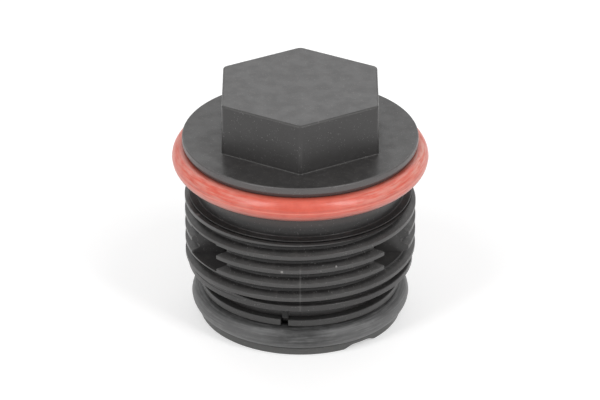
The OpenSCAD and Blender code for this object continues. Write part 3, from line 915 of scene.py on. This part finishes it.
def in_millimetres(tree):
    """Object coordinates as a vector in millimetres."""
    coords = add_node(tree, "ShaderNodeTexCoord")
    scaled = add_node(tree, "ShaderNodeVectorMath", operation="SCALE")
    tree.links.new(coords.outputs["Object"], scaled.inputs[0])
    scaled.inputs["Scale"].default_value = 1 / MM
    return scaled.outputs[0]


print("helpers for patterns ready")

# %% Helpers for groups


def new_group(name, inputs, outputs):
    """An empty node group with its sockets, and its two end nodes."""
    tree = bpy.data.node_groups.new(name, "ShaderNodeTree")
    for label, value in inputs:
        tree.interface.new_socket(label, in_out="INPUT", socket_type="NodeSocketFloat").default_value = value
    for label in outputs:
        tree.interface.new_socket(label, in_out="OUTPUT", socket_type="NodeSocketFloat")
    return tree, add_node(tree, "NodeGroupInput").outputs, add_node(tree, "NodeGroupOutput").inputs


def use_group(tree, group, label="", **values):
    """Puts a shared group into a material and returns its outputs."""
    node = add_node(tree, "ShaderNodeGroup", node_tree=group, label=label)
    for name, value in values.items():
        feed(tree, node.inputs[name.replace("_", " ")], value)
    return node.outputs


print("helpers for groups ready")

# %% [markdown]
# A maker's marks follow a turned part round its axis, so every pattern asks the same question
# first: where is this point? Place answers it with height, radius and bearing. It could be
# wired anew in each material, but as a group it is built once, and gives only values.

# %% Group: place on a turned part
DEGREES = 180 / math.pi
place_group, _, place_out = new_group("Place", [], ["X", "Y", "Height", "Radius", "Bearing"])
parts = add_node(place_group, "ShaderNodeSeparateXYZ")
place_group.links.new(in_millimetres(place_group), parts.inputs[0])
x_mm, y_mm, z_mm = parts.outputs
squares = maths(
    place_group, "ADD", maths(place_group, "MULTIPLY", x_mm, x_mm),
    maths(place_group, "MULTIPLY", y_mm, y_mm))
bearing = maths(place_group, "ARCTAN2", x_mm, maths(place_group, "MULTIPLY", y_mm, -1.0))
for label, value in (
        ("X", x_mm), ("Y", y_mm), ("Height", z_mm), ("Radius", maths(place_group, "SQRT", squares)),
        ("Bearing", maths(place_group, "MULTIPLY", bearing, DEGREES))):
    feed(place_group, place_out[label], value)
print("Place:", [socket.name for socket in place_out if socket.name])

# %% [markdown]
# Tones sit in places: crests and rims are painted paler, as painted light with some wear, and
# thread roots are painted darker, as painted shade. Faces could be painted or given other
# materials, but hard borders would show. Zone gives 1 inside a ring-shaped stretch and fades
# to 0 over a soft border, so one material can hold many tones.

# %% Group: ring-shaped zone
FAR_OFF = 100.0
zone_group, zone_in, zone_out = new_group("Zone", [
    ("Inner", 0.0), ("Outer", FAR_OFF), ("Low", -FAR_OFF), ("High", FAR_OFF),
    ("Left", -FAR_OFF), ("Right", FAR_OFF), ("Soft", 0.1)], ["Share"])
where = use_group(zone_group, place_group)
zone_share = 1.0
for measure, near, far in (("Radius", "Inner", "Outer"), ("Height", "Low", "High"), ("X", "Left", "Right")):
    for edge, first, last in ((near, 0.0, 1.0), (far, 1.0, 0.0)):
        start = maths(zone_group, "SUBTRACT", zone_in[edge], zone_in["Soft"])
        finish = maths(zone_group, "ADD", zone_in[edge], zone_in["Soft"])
        within = spread(zone_group, where[measure], start, finish, first, last)
        zone_share = maths(zone_group, "MULTIPLY", zone_share, within)
feed(zone_group, zone_out["Share"], zone_share)
print("Zone:", len(zone_group.nodes), "nodes")

# %% [markdown]
# Moulded grain is the skin of injected plastic: a fine texture from the mould's own surface,
# wide clouds where the melt cooled at another pace, and rare pale flecks of glass fibre. One
# noise could do for all three, but each has its own size, so each gets its own.

# %% Group: moulded grain
CLOUD_RELIEF = 0.35
FLECK_SCALE = 3.4
grain_group, grain_in, grain_out = new_group(
    "Moulded grain", [("Grain", 0.16), ("Cloud", 3.0)], ["Height", "Tone", "Fleck"])
spot = in_millimetres(grain_group)
fine = noise(grain_group, spot, maths(grain_group, "DIVIDE", 1.0, grain_in["Grain"]), 2.0, 0.6)
cloud = noise(grain_group, spot, maths(grain_group, "DIVIDE", 1.0, grain_in["Cloud"]), 4.0, 0.6)
flecks = noise(grain_group, spot, FLECK_SCALE, 1.0, 0.5)
wave = maths(grain_group, "MULTIPLY", cloud, CLOUD_RELIEF)
feed(grain_group, grain_out["Height"], maths(grain_group, "ADD", fine, wave))
feed(grain_group, grain_out["Tone"], spread(grain_group, cloud, 0.3, 0.7))
feed(grain_group, grain_out["Fleck"], spread(grain_group, flecks, 0.66, 0.76))
print("Moulded grain:", len(grain_group.nodes), "nodes")

# %% [markdown]
# Streaks run round a ring or a turned piece, because that is the way it was wiped, wound or
# cut. A stretched noise on flat coordinates would run out at the sides. So the noise is read
# along X and Y slowly and across the cord's section fast, and the streaks bend with the ring.

# %% Group: streaks round a ring
STREAKS_PER_TURN = 2.2


def cord_angle(tree, where, middle_r, middle_h):
    """Angle round a cord's section in radians, 0 on its outer side and rising to its top."""
    off_axis = maths(tree, "SUBTRACT", where["Radius"], middle_r)
    off_level = maths(tree, "SUBTRACT", where["Height"], middle_h)
    return maths(tree, "ARCTAN2", off_level, off_axis)


streak_group, streak_in, streak_out = new_group("Streaks", [
    ("Middle Radius", 20.0), ("Middle Height", 0.0), ("Across", 3.0), ("Along", 0.12)], ["Streaks"])
where = use_group(streak_group, place_group)
round_cord = cord_angle(streak_group, where, streak_in["Middle Radius"], streak_in["Middle Height"])
round_cord = maths(streak_group, "MULTIPLY", round_cord, STREAKS_PER_TURN)
feed(streak_group, streak_out["Streaks"], noise(streak_group, stretched(
    streak_group, maths(streak_group, "MULTIPLY", where["X"], streak_in["Along"]),
    maths(streak_group, "MULTIPLY", where["Y"], streak_in["Along"]),
    maths(streak_group, "MULTIPLY", round_cord, streak_in["Across"])), 1.0, 4.0, 0.65))
print("Streaks:", len(streak_group.nodes), "nodes")

# %% [markdown]
# Dust settles where a surface looks upwards, in patches and single specks. It could be
# scattered as tiny meshes, but at arm's length it is only a paler, duller skin. The group
# gives that mask from the upward part of the normal and two noises.

# %% Group: settled dust
SPECK_SCALE = 5.0
dust_group, dust_in, dust_out = new_group("Settled dust", [("Patch", 1.4), ("Least", 0.45)], ["Dust"])
shape = add_node(dust_group, "ShaderNodeNewGeometry")
facing = add_node(dust_group, "ShaderNodeSeparateXYZ")
dust_group.links.new(shape.outputs["Normal"], facing.inputs[0])
spot = in_millimetres(dust_group)
upward = spread(dust_group, facing.outputs["Z"], 0.1, 0.95)
patches = noise(dust_group, spot, maths(dust_group, "DIVIDE", 1.0, dust_in["Patch"]), 5.0, 0.7)
specks = noise(dust_group, spot, SPECK_SCALE, 2.0, 0.7)
patchy = spread(dust_group, patches, dust_in["Least"], 0.8)
speckled = spread(dust_group, specks, 0.62, 0.75)
settled = maths(dust_group, "MULTIPLY", upward, maths(dust_group, "MAXIMUM", patchy, speckled))
feed(dust_group, dust_out["Dust"], settled)
print("Settled dust:", len(dust_group.nodes), "nodes")

# %% [markdown]
# Black nylon is never quite black. It keeps a few per cent of the light, and most of what the
# eye sees is the white room reflected in a satin skin, so grain and roughness matter more than
# colour. A plain dark shader would look like paint. This recipe lays clouds, then zones of
# painted light and shade with some wear, then flecks and dust over each other, and housing and
# piston use it with other numbers.

# %% An empty material and its relief


def new_material(name):
    """An empty material with one shader on its output."""
    material = bpy.data.materials.new(name)
    material.use_nodes = True
    tree = material.node_tree
    tree.nodes.clear()
    shader = add_node(tree, "ShaderNodeBsdfPrincipled")
    out = add_node(tree, "ShaderNodeOutputMaterial")
    tree.links.new(shader.outputs[0], out.inputs["Surface"])
    return material, tree, shader


def roughen(tree, shader, height, depth):
    """Turns a height into fine relief, with its depth in millimetres."""
    bump = add_node(tree, "ShaderNodeBump")
    bump.inputs["Distance"].default_value = depth * MM
    feed(tree, bump.inputs["Height"], height)
    tree.links.new(bump.outputs[0], shader.inputs["Normal"])


print("helpers for materials ready")

# %% The recipe for moulded plastic
PLAIN_SHINE = 0.5
ROUGH_SPREAD, DUST_ROUGH = 0.05, 0.5
DUST_TONE = (0.32, 0.3, 0.28, 1)
FLECK_SHARE, FLECK_TONE = 0.4, (0.26, 0.255, 0.25, 1)


def zone(share, tone, shine=PLAIN_SHINE, **limits):
    """One zone of another tone, such as painted light, painted shade or wear: how strongly it shows, its
    tone, its shine and where it lies.
    """
    return share, (*tone, 1), shine, limits


def moulded_plastic(name, dark, light, rough, grain, cloud, depth, dust_share, zones):
    """Satin moulded plastic with clouds, flecks, a little dust, and zones of another tone and shine."""
    material, tree, shader = new_material(name)
    skin = use_group(tree, grain_group, Grain=grain, Cloud=cloud)
    base = blended(tree, skin["Tone"], (*dark, 1), (*light, 1))
    shine = PLAIN_SHINE
    for title, (share, tone, zone_shine, limits) in zones.items():
        inside = maths(tree, "MULTIPLY", share, use_group(tree, zone_group, title, **limits)["Share"])
        base = blended(tree, inside, base, tone)
        shine = spread(tree, inside, 0.0, 1.0, shine, zone_shine, "LINEAR")
    dusty = maths(tree, "MULTIPLY", use_group(tree, dust_group)["Dust"], dust_share)
    base = blended(tree, maths(tree, "MULTIPLY", skin["Fleck"], FLECK_SHARE), base, FLECK_TONE)
    feed(tree, shader.inputs["Base Color"], blended(tree, dusty, base, DUST_TONE))
    tone_rough = spread(tree, skin["Tone"], 0, 1, rough - ROUGH_SPREAD, rough + ROUGH_SPREAD)
    dusty_rough = maths(tree, "MULTIPLY", dusty, DUST_ROUGH)
    feed(tree, shader.inputs["Roughness"], maths(tree, "ADD", tone_rough, dusty_rough))
    feed(tree, shader.inputs["Specular IOR Level"], shine)
    roughen(tree, shader, skin["Height"], depth)
    print(name, "has", len(zones), "zones and", len(tree.nodes), "nodes")
    return material


# %% [markdown]
# Where the body is painted lighter or darker. Most places are painted light and shade, a few
# have some wear, and two specks are pale flash. Each place could be a material of its own, but a
# list is easier to read and to change. A line names a place, how strongly its tone covers what
# lies below, the tone as linear red, green and blue, its shine where that isn't plain, and its
# limits in millimetres. They are laid over one another from the thread up to the hexagon.

# %% Zones of the body
threaded = dict(Low=THREAD_FOOT + 0.1, High=NECK_FOOT + 0.3)
in_windows = dict(Inner=8.0, Outer=22.0, Low=WINDOW_LOW - 0.2, High=WINDOW_HIGH + 0.2, Soft=0.3)
on_neck = dict(Inner=NECK_R - 0.4, Outer=NECK_R + 0.7)
on_crest = dict(Inner=22.3, Soft=0.08)
PALE_FLASH = (0.34, 0.33, 0.32)

body_zones = {
    # Painted shade: thread roots darker, as shade in the grooves under the crests.
    "thread roots": zone(
        0.9, (0.020, 0.019, 0.019), 0.35, Inner=ROOT_R - 0.3, Outer=ROOT_R + 0.6, Soft=0.25, **threaded),
    # Painted light: the outer part of the thread lighter, as if lit from above.
    "upper flanks": zone(0.8, (0.064, 0.062, 0.061), Inner=22.0, Outer=22.8, Soft=0.4, **threaded),
    # Painted light with some wear: crest faces lighter.
    "crests": zone(0.9, (0.068, 0.066, 0.065), Inner=22.38, Outer=22.8, Soft=0.06, **threaded),
    # Painted light: walls inside the windows lighter, the right ones more than the left.
    "right windows": zone(0.8, (0.056, 0.054, 0.053), Left=13.4, **in_windows),
    "left windows": zone(0.8, (0.051, 0.049, 0.049), Right=-13.4, **in_windows),
    # Painted shade: darker in the gap beside the rib, under the collar.
    "beside the rib": zone(
        0.85, (0.012, 0.012, 0.012), 0.3, Inner=18.4, Outer=19.2, Low=7.7, High=10.6, Soft=0.1),
    # Painted shade: the neck's foot darker, under the red ring and flange.
    "neck's foot": zone(0.5, (0.016, 0.015, 0.015), 0.4, Low=26.2, High=28.2, Soft=0.4, **on_neck),
    # Painted reflection: a reddish, lighter band on the neck below the red ring.
    "neck's middle": zone(0.7, (0.105, 0.082, 0.076), Low=28.5, High=31.8, Soft=0.9, **on_neck),
    # Painted light: the flange's underside taper lighter, lifting its shade.
    "under the rim": zone(
        0.8, (0.105, 0.098, 0.096), Inner=22.0, Outer=23.0, Low=35.85, High=36.7, Soft=0.1),
    # Painted light with some wear: the flange's rim lighter.
    "rim": zone(0.95, (0.112, 0.107, 0.106), Inner=22.6, Outer=23.5, Low=36.75, High=38.1, Soft=0.12),
    # Painted highlight: a lighter line along the hexagon's rounded top edge.
    "hexagon's top edge": zone(
        0.8, (0.12, 0.117, 0.115), 0.6, Inner=5.0, Low=body_top - 0.36, High=body_top - 0.03, Soft=0.03),
    "hexagon's flats": zone(0.7, (0.050, 0.048, 0.0475), Outer=17.5, Low=FLANGE_TOP + 0.6, Soft=0.3),
    # Painted light: the hexagon's flat top painted lighter.
    "hexagon's top": zone(
        0.8, (0.068, 0.0665, 0.0665), 0.55, Outer=17.4, Low=body_top - 0.02, Soft=0.01),
    "left speck": zone(0.9, PALE_FLASH, Low=19.55, High=19.95, Left=-3.72, Right=-3.28, **on_crest),
    "right speck": zone(0.9, PALE_FLASH, Low=20.3, High=20.8, Left=6.66, Right=7.06, **on_crest),
    # Painted highlight: a paler line along the seam's ridge.
    "seam": zone(
        0.2, (0.21, 0.205, 0.2), Inner=20.9, Low=10.2, High=SEAM_CLEAR + 0.1, Left=-0.16, Right=0.14,
        Soft=0.08),
}
print("zones of the body:", ", ".join(body_zones))

# %% The three plastics
housing_zones = {
    # Painted light: the lip painted lighter than the housing's plastic.
    "lip": zone(0.95, (0.105, 0.105, 0.102), Inner=19.0, Outer=21.0, Low=-1.0, High=1.7, Soft=0.1),
    # Painted light: the keeper ring painted lighter.
    "keeper ring": zone(0.9, (0.054, 0.053, 0.052), Inner=19.3, Outer=20.0, Low=6.1, High=8.0, Soft=0.1),
}
body_nylon = moulded_plastic(
    "body_nylon", (0.037, 0.0355, 0.035), (0.044, 0.042, 0.0415),
    rough=0.36, grain=0.17, cloud=3.0, depth=0.006, dust_share=0.10, zones=body_zones)
housing_nylon = moulded_plastic(
    "housing_nylon", (0.036, 0.036, 0.035), (0.043, 0.042, 0.041),
    rough=0.38, grain=0.2, cloud=3.0, depth=0.006, dust_share=0.08, zones=housing_zones)
valve_plastic = moulded_plastic(
    "valve_plastic", (0.022, 0.022, 0.023), (0.028, 0.028, 0.029),
    rough=0.36, grain=0.25, cloud=2.5, depth=0.004, dust_share=0.0, zones={})

# %% [markdown]
# Red silicone lets a little light into itself, which softens its shadows, so it takes some
# subsurface scattering and not just a red. It is clean in front and wears a pale chalky film at
# its sides, where it was wiped, and the same pale layer carries painted sheen there, fullest at
# the right end. Painted shade darkens it where it meets the flange and over its lower half, a
# thin line of painted shade runs above its parting line, and the parting line itself carries a
# painted highlight. Each of these is one mask and one colour laid over it.

# %% Colours of the red silicone
RED_DEEP, RED_CLEAR = (0.72, 0.116, 0.074, 1), (0.80, 0.146, 0.096, 1)
# The chalky colour is a wiped film that also carries painted sheen at the sides.
RED_CHALK_AND_SHEEN, RED_SHADE_BELOW, RED_SHADE_ABOVE = (0.84, 0.47, 0.40, 1), (0.40, 0.20, 0.175, 1), (0.20, 0.045, 0.030, 1)
# A thin line of painted shade lies above the parting line, and a painted highlight on it.
LINE_SHADE, LINE_HIGHLIGHT = (0.30, 0.04, 0.03, 1), (0.90, 0.36, 0.29, 1)
RED_SHINE, RED_GLOW, RED_GLOW_DEPTH = 0.62, 0.12, 0.9
RED_RELIEF = 0.006
LINE_SHADE_HEIGHT = 0.42
FILM_AND_SHEEN_FROM, FILM_AND_SHEEN_FULL = 6, 42
END_FROM, END_FULL = 54, 76


def chalky_film_and_sheen(tree, where, streaks):
    """Chalky film in streaks that also carries painted sheen, faint in front, full at the sides and fullest
    at the right end.
    """
    aside = spread(tree, maths(tree, "ABSOLUTE", where["Bearing"]), FILM_AND_SHEEN_FROM, FILM_AND_SHEEN_FULL, 0.08, 0.8)
    right_end = spread(tree, where["Bearing"], END_FROM, END_FULL, 0.0, 0.6)
    return maths(tree, "MULTIPLY", maths(tree, "ADD", aside, right_end), spread(tree, streaks, 0.34, 0.66))


def near_level(tree, off_middle, level, near, far):
    """1 at a level above the ring's middle, fading to 0 on both sides of it."""
    off = maths(tree, "ABSOLUTE", maths(tree, "SUBTRACT", off_middle, level))
    return spread(tree, off, near, far, 1.0, 0.0)


print("film grows from", FILM_AND_SHEEN_FROM, "to", FILM_AND_SHEEN_FULL, "degrees off the front")

# %% Red silicone


def make_red_silicone():
    """Soft red with a chalky film and painted sheen at the sides, painted shade where it meets the flange and
    over its lower half.
    """
    material, tree, shader = new_material("red_silicone")
    middle_r, middle_h = ring_middle(ring_low, ring_high, red_r)
    where = use_group(tree, place_group)
    skin = use_group(tree, grain_group, Grain=0.12, Cloud=2.2)
    streaks = use_group(
        tree, streak_group, Middle_Radius=middle_r, Middle_Height=middle_h, Across=2.4, Along=0.22)["Streaks"]
    off_middle = maths(tree, "SUBTRACT", where["Height"], middle_h)
    around = maths(tree, "MULTIPLY", cord_angle(tree, where, middle_r, middle_h), DEGREES)
    film_and_sheen = chalky_film_and_sheen(tree, where, streaks)
    shaded_line = near_level(tree, off_middle, LINE_SHADE_HEIGHT, 0.04, 0.3)
    highlight_line = near_level(tree, off_middle, 0.0, 0.03, 0.18)
    layers = (
        # Chalky film with painted sheen at the sides.
        (maths(tree, "MULTIPLY", film_and_sheen, 0.62, True), RED_CHALK_AND_SHEEN),
        # Painted shade: the lower half of the cord darker and greyer.
        (spread(tree, around, -62, 2, 0.75, 0.0), RED_SHADE_BELOW),
        # Painted shade: the top of the cord dark where it meets the flange.
        (spread(tree, around, 60, 98, 0.0, 0.8), RED_SHADE_ABOVE),
        (maths(tree, "MULTIPLY", shaded_line, 0.16), LINE_SHADE),
        (maths(tree, "MULTIPLY", highlight_line, 0.45), LINE_HIGHLIGHT))
    base = blended(tree, skin["Tone"], RED_DEEP, RED_CLEAR)
    for share, colour in layers:
        base = blended(tree, share, base, colour)
    feed(tree, shader.inputs["Base Color"], base)
    feed(tree, shader.inputs["Roughness"], spread(tree, film_and_sheen, 0, 1, 0.28, 0.5))
    shader.inputs["Specular IOR Level"].default_value = RED_SHINE
    shader.inputs["Subsurface Weight"].default_value = RED_GLOW
    shader.inputs["Subsurface Radius"].default_value = (1.0, 0.3, 0.2)
    shader.inputs["Subsurface Scale"].default_value = RED_GLOW_DEPTH * MM
    grain = maths(tree, "MULTIPLY", skin["Height"], 0.5)
    roughen(tree, shader, maths(tree, "ADD", grain, streaks), RED_RELIEF)
    return material


red_silicone = make_red_silicone()
print("red silicone:", len(red_silicone.node_tree.nodes), "nodes")

# %% [markdown]
# Black rubber has no glow, but a grey bloom comes out of it with age and lies in streaks along
# the ring, as mould and tank left it. Mixing in plain grey noise would look like dirt. The same
# grey is also laid on as painted sheen: held to the outer face of the cord by its angle, growing
# towards the sides, with painted light on the cord's lower side.

# %% Black rubber
RUBBER_DARK, RUBBER_LIGHT = (0.026, 0.026, 0.026, 1), (0.034, 0.034, 0.034, 1)
BLOOM_AND_SHEEN_TONE, STREAK_SHARE = (0.27, 0.27, 0.27, 1), 0.4
RUBBER_RELIEF = 0.01


def make_black_rubber():
    """Near-black rubber with a grey bloom in streaks and painted sheen in the same grey."""
    material, tree, shader = new_material("black_rubber")
    middle_r, middle_h = ring_middle(cord_low, cord_high, black_r)
    skin = use_group(tree, grain_group, Grain=0.14, Cloud=1.6)
    streaks = use_group(
        tree, streak_group, Middle_Radius=middle_r, Middle_Height=middle_h, Across=3.4, Along=0.16)["Streaks"]
    where = use_group(tree, place_group)
    around = maths(tree, "MULTIPLY", cord_angle(tree, where, middle_r, middle_h), DEGREES)
    # Painted sheen towards the sides and painted light on the lower side, faded at the top of the cord.
    aside = spread(tree, maths(tree, "ABSOLUTE", where["Bearing"]), 2, 32, 0.05, 0.34)
    below = spread(tree, around, -60, -10, 0.22, 0.0)
    film_and_sheen = maths(tree, "MULTIPLY", spread(tree, around, 30, 66, 1.0, 0.1), maths(tree, "ADD", aside, below))
    streaky = maths(tree, "MULTIPLY", STREAK_SHARE, maths(
        tree, "MULTIPLY", spread(tree, streaks, 0.38, 0.74), spread(tree, skin["Tone"], 0, 1, 0.55, 1)))
    bloom_and_sheen = maths(tree, "ADD", film_and_sheen, streaky, True)
    base = blended(tree, skin["Tone"], RUBBER_DARK, RUBBER_LIGHT)
    feed(tree, shader.inputs["Base Color"], blended(tree, bloom_and_sheen, base, BLOOM_AND_SHEEN_TONE))
    feed(tree, shader.inputs["Roughness"], spread(tree, bloom_and_sheen, 0, 1, 0.36, 0.58))
    grain = maths(tree, "MULTIPLY", skin["Height"], 0.6)
    roughen(tree, shader, maths(tree, "ADD", grain, streaks), RUBBER_RELIEF)
    return material


black_rubber = make_black_rubber()
print("black rubber:", len(black_rubber.node_tree.nodes), "nodes")

# %% [markdown]
# Metals are told apart by their marks: drawn wire has fine lines along itself, a turned disc
# has rings, a stamped clip is plain with a dull skin. An anisotropic shader would stretch the
# highlights without showing a mark. So the marks are relief: the same streaks for wire and
# clip, and for brass a noise read along the radius only, whose rings close on themselves.

# %% Wire and clip


def marked_metal(name, bright, dull, rough, middle_r, across, along, depth):
    """Bare metal with tool marks round the axis and dull patches."""
    material, tree, shader = new_material(name)
    skin = use_group(tree, grain_group, Grain=0.08, Cloud=1.2)
    marks = use_group(
        tree, streak_group, Middle_Radius=middle_r, Middle_Height=0.0, Across=across, Along=along)["Streaks"]
    feed(tree, shader.inputs["Base Color"], blended(
        tree, maths(tree, "MULTIPLY", skin["Tone"], spread(tree, marks, 0.3, 0.7)), (*bright, 1), (*dull, 1)))
    feed(tree, shader.inputs["Roughness"], spread(tree, marks, 0.3, 0.7, rough - 0.06, rough + 0.1))
    shader.inputs["Metallic"].default_value = 1.0
    roughen(tree, shader, marks, depth)
    return material


spring_steel = marked_metal(
    "spring_steel", (0.36, 0.37, 0.38), (0.22, 0.22, 0.23),
    rough=0.3, middle_r=coil_r - MAIN_WIRE_R, across=1.5, along=0.5, depth=0.004)
clip_steel = marked_metal(
    "clip_steel", (0.42, 0.43, 0.44), (0.26, 0.26, 0.27),
    rough=0.34, middle_r=clip_r / 2, across=1.2, along=1.5, depth=0.003)
print("steels:", spring_steel.name, clip_steel.name)

# %% Brass
BRASS_BRIGHT, BRASS_DULL = (0.62, 0.42, 0.15, 1), (0.44, 0.30, 0.12, 1)
LATHE_RINGS, LATHE_RELIEF = 9.0, 0.006


def make_turned_brass():
    """Brass with rings cut by the lathe."""
    material, tree, shader = new_material("turned_brass")
    where = use_group(tree, place_group)
    skin = use_group(tree, grain_group, Grain=0.1, Cloud=2.0)
    rings = noise(tree, stretched(tree, where["Radius"], where["Height"], 0.0), LATHE_RINGS, 3.0, 0.7)
    feed(tree, shader.inputs["Base Color"], blended(tree, skin["Tone"], BRASS_BRIGHT, BRASS_DULL))
    feed(tree, shader.inputs["Roughness"], spread(tree, skin["Tone"], 0, 1, 0.24, 0.4))
    shader.inputs["Metallic"].default_value = 1.0
    roughen(tree, shader, rings, LATHE_RELIEF)
    return material


turned_brass = make_turned_brass()
print("brass:", len(turned_brass.node_tree.nodes), "nodes")

# %% [markdown]
# Each new piece now takes its finish and rides on the body whose part it stands for, and the
# solid it replaces is hidden. The valves of the real cap lift and drop against their springs.
# An armature could bend the springs, but they only get shorter. Here each spring is only given
# a mesh of its own.

# %% Pieces into the frame


def settle(piece, body, node, material):
    """Gives a piece its finish and its place in the frame."""
    piece.data.materials.clear()
    piece.data.materials.append(material)
    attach(piece, body)
    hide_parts(node)
    faces = sum(len(p.vertices) - 2 for p in piece.data.polygons)
    print(piece.name, "stands for", node, "with", faces, "triangles")


settle(body_piece, "cap", "cap_body", body_nylon)
settle(red_piece, "cap", "flange_seal_ring", red_silicone)
settle(housing_piece, "cap", "valve_housing", housing_nylon)
settle(black_piece, "cap", "neck_seal_ring", black_rubber)
settle(piston_piece, "pressure_valve", "pressure_piston", valve_plastic)
settle(gasket_piece, "pressure_valve", "valve_gasket", black_rubber)
settle(disc_piece, "vacuum_valve", "vacuum_disc", turned_brass)
settle(clip_piece, "vacuum_valve", "spring_clip", clip_steel)
settle(main_spring, "cap", "pressure_spring", spring_steel)
settle(small_spring, "pressure_valve", "vacuum_spring", spring_steel)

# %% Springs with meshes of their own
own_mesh(main_spring)
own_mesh(small_spring)

# %% [markdown]
# The cap stands on white. A floor lit until it is white would need so much light that the cap
# turned grey, so the floor is only pale. It glows a little for the eye alone, through its
# Light Path node, and reads as white while a faint shadow still grounds the cap.

# %% Floor
FLOOR_HALF = 2.5
FLOOR_GLOW = 0.42
PAPER_SCALE, PAPER_DARK, PAPER_LIGHT = 40.0, (0.72, 0.72, 0.72, 1), (0.75, 0.75, 0.75, 1)


def make_floor():
    """Round white floor far wider than the picture."""
    bm = bmesh.new()
    bmesh.ops.create_circle(bm, cap_ends=True, radius=FLOOR_HALF / MM, segments=96)
    floor = as_object(bm, "studio_floor")
    material, tree, shader = new_material("studio_white")
    coords = add_node(tree, "ShaderNodeTexCoord")
    paper = noise(tree, coords.outputs["Object"], PAPER_SCALE, 4.0, 0.6)
    feed(tree, shader.inputs["Base Color"], blended(tree, paper, PAPER_DARK, PAPER_LIGHT))
    shader.inputs["Roughness"].default_value = 0.9
    shader.inputs["Specular IOR Level"].default_value = 0.0
    light_path = add_node(tree, "ShaderNodeLightPath")
    seen = maths(tree, "MAXIMUM", light_path.outputs["Is Camera Ray"], maths(
        tree, "MAXIMUM", light_path.outputs["Is Glossy Ray"], light_path.outputs["Is Transmission Ray"]))
    shader.inputs["Emission Color"].default_value = (1, 1, 1, 1)
    feed(tree, shader.inputs["Emission Strength"], maths(tree, "MULTIPLY", seen, FLOOR_GLOW))
    floor.data.materials.append(material)
    return floor


floor_piece = make_floor()
print(floor_piece.name, 2 * FLOOR_HALF, "m across")

# %% [markdown]
# A soft sky gives most of the light. On its own it would leave the black cap flat, so two
# tall, narrow panels stand in front, one at each side, and draw the soft highlights left and
# right of the middle. A wide one behind the cap is what its flat top reflects. All of them are
# weak enough that a colour renders about as it is written.

# %% Sky
SKY = 0.42


def make_sky():
    """Even white sky that gives most of the light and all of its softness."""
    world = bpy.data.worlds.new("studio_sky")
    world.use_nodes = True
    tree = world.node_tree
    tree.nodes.clear()
    light = add_node(tree, "ShaderNodeBackground")
    light.inputs["Color"].default_value = (1, 1, 1, 1)
    light.inputs["Strength"].default_value = SKY
    out = add_node(tree, "ShaderNodeOutputWorld")
    tree.links.new(light.outputs[0], out.inputs["Surface"])
    bpy.context.scene.world = world


make_sky()
print("sky", SKY)

# %% Light panels
PANEL_AIM = (0, 0, 0.025)
PANELS = (
    ("left_panel", (-0.58, -0.58, 0.74), 0.24, 0.90, 4.0),
    ("right_panel", (0.58, -0.58, 0.74), 0.24, 0.90, 4.6),
    ("back_panel", (0.0, 0.85, 0.65), 1.6, 0.6, 3.4))


def aim(place, target):
    """Turn of an object that looks from one point to another."""
    return (Vector(target) - Vector(place)).to_track_quat("-Z", "Y").to_euler()


def light_panel(name, place, width, height, power):
    """A soft rectangle of light aimed at the middle of the cap."""
    lamp = bpy.data.lights.new(name, "AREA")
    lamp.shape = "RECTANGLE"
    lamp.size, lamp.size_y = width, height
    lamp.energy = power
    panel = bpy.data.objects.new(name, lamp)
    panel.location = place
    panel.rotation_euler = aim(place, PANEL_AIM)
    bpy.context.scene.collection.objects.link(panel)


for settings in PANELS:
    light_panel(*settings)
bpy.context.scene.view_settings.view_transform = "Standard"
print("panels:", [name for name, *rest in PANELS])

# %% [markdown]
# The camera stands where the photographer's did, found from the picture itself: the ellipses
# of the rings give the height above them, and the size of the cap gives the distance. A wide
# lens from near by would fill the picture as well, but bend the rings into other ellipses.

# %% Camera
AIM_HEIGHT = 23.34
DISTANCE = 700.0
ELEVATION = math.radians(28.31)
FOCAL, SENSOR_W = 215.3, 36.0
ASIDE = -0.0004
FAR_END = 20.0


def make_camera():
    """Long lens, looking down at the middle of the cap."""
    data = bpy.data.cameras.new("studio_camera")
    data.lens, data.sensor_width, data.shift_x = FOCAL, SENSOR_W, ASIDE
    data.clip_end = FAR_END
    camera = bpy.data.objects.new("studio_camera", data)
    back, up = DISTANCE * math.cos(ELEVATION), DISTANCE * math.sin(ELEVATION)
    camera.location = (0, -back * MM, (AIM_HEIGHT + up) * MM)
    camera.rotation_euler = aim(camera.location, (0, 0, AIM_HEIGHT * MM))
    bpy.context.scene.collection.objects.link(camera)
    bpy.context.scene.camera = camera


make_camera()
print("camera", round(DISTANCE), "mm away, looking down by", round(math.degrees(ELEVATION), 1), "degrees")
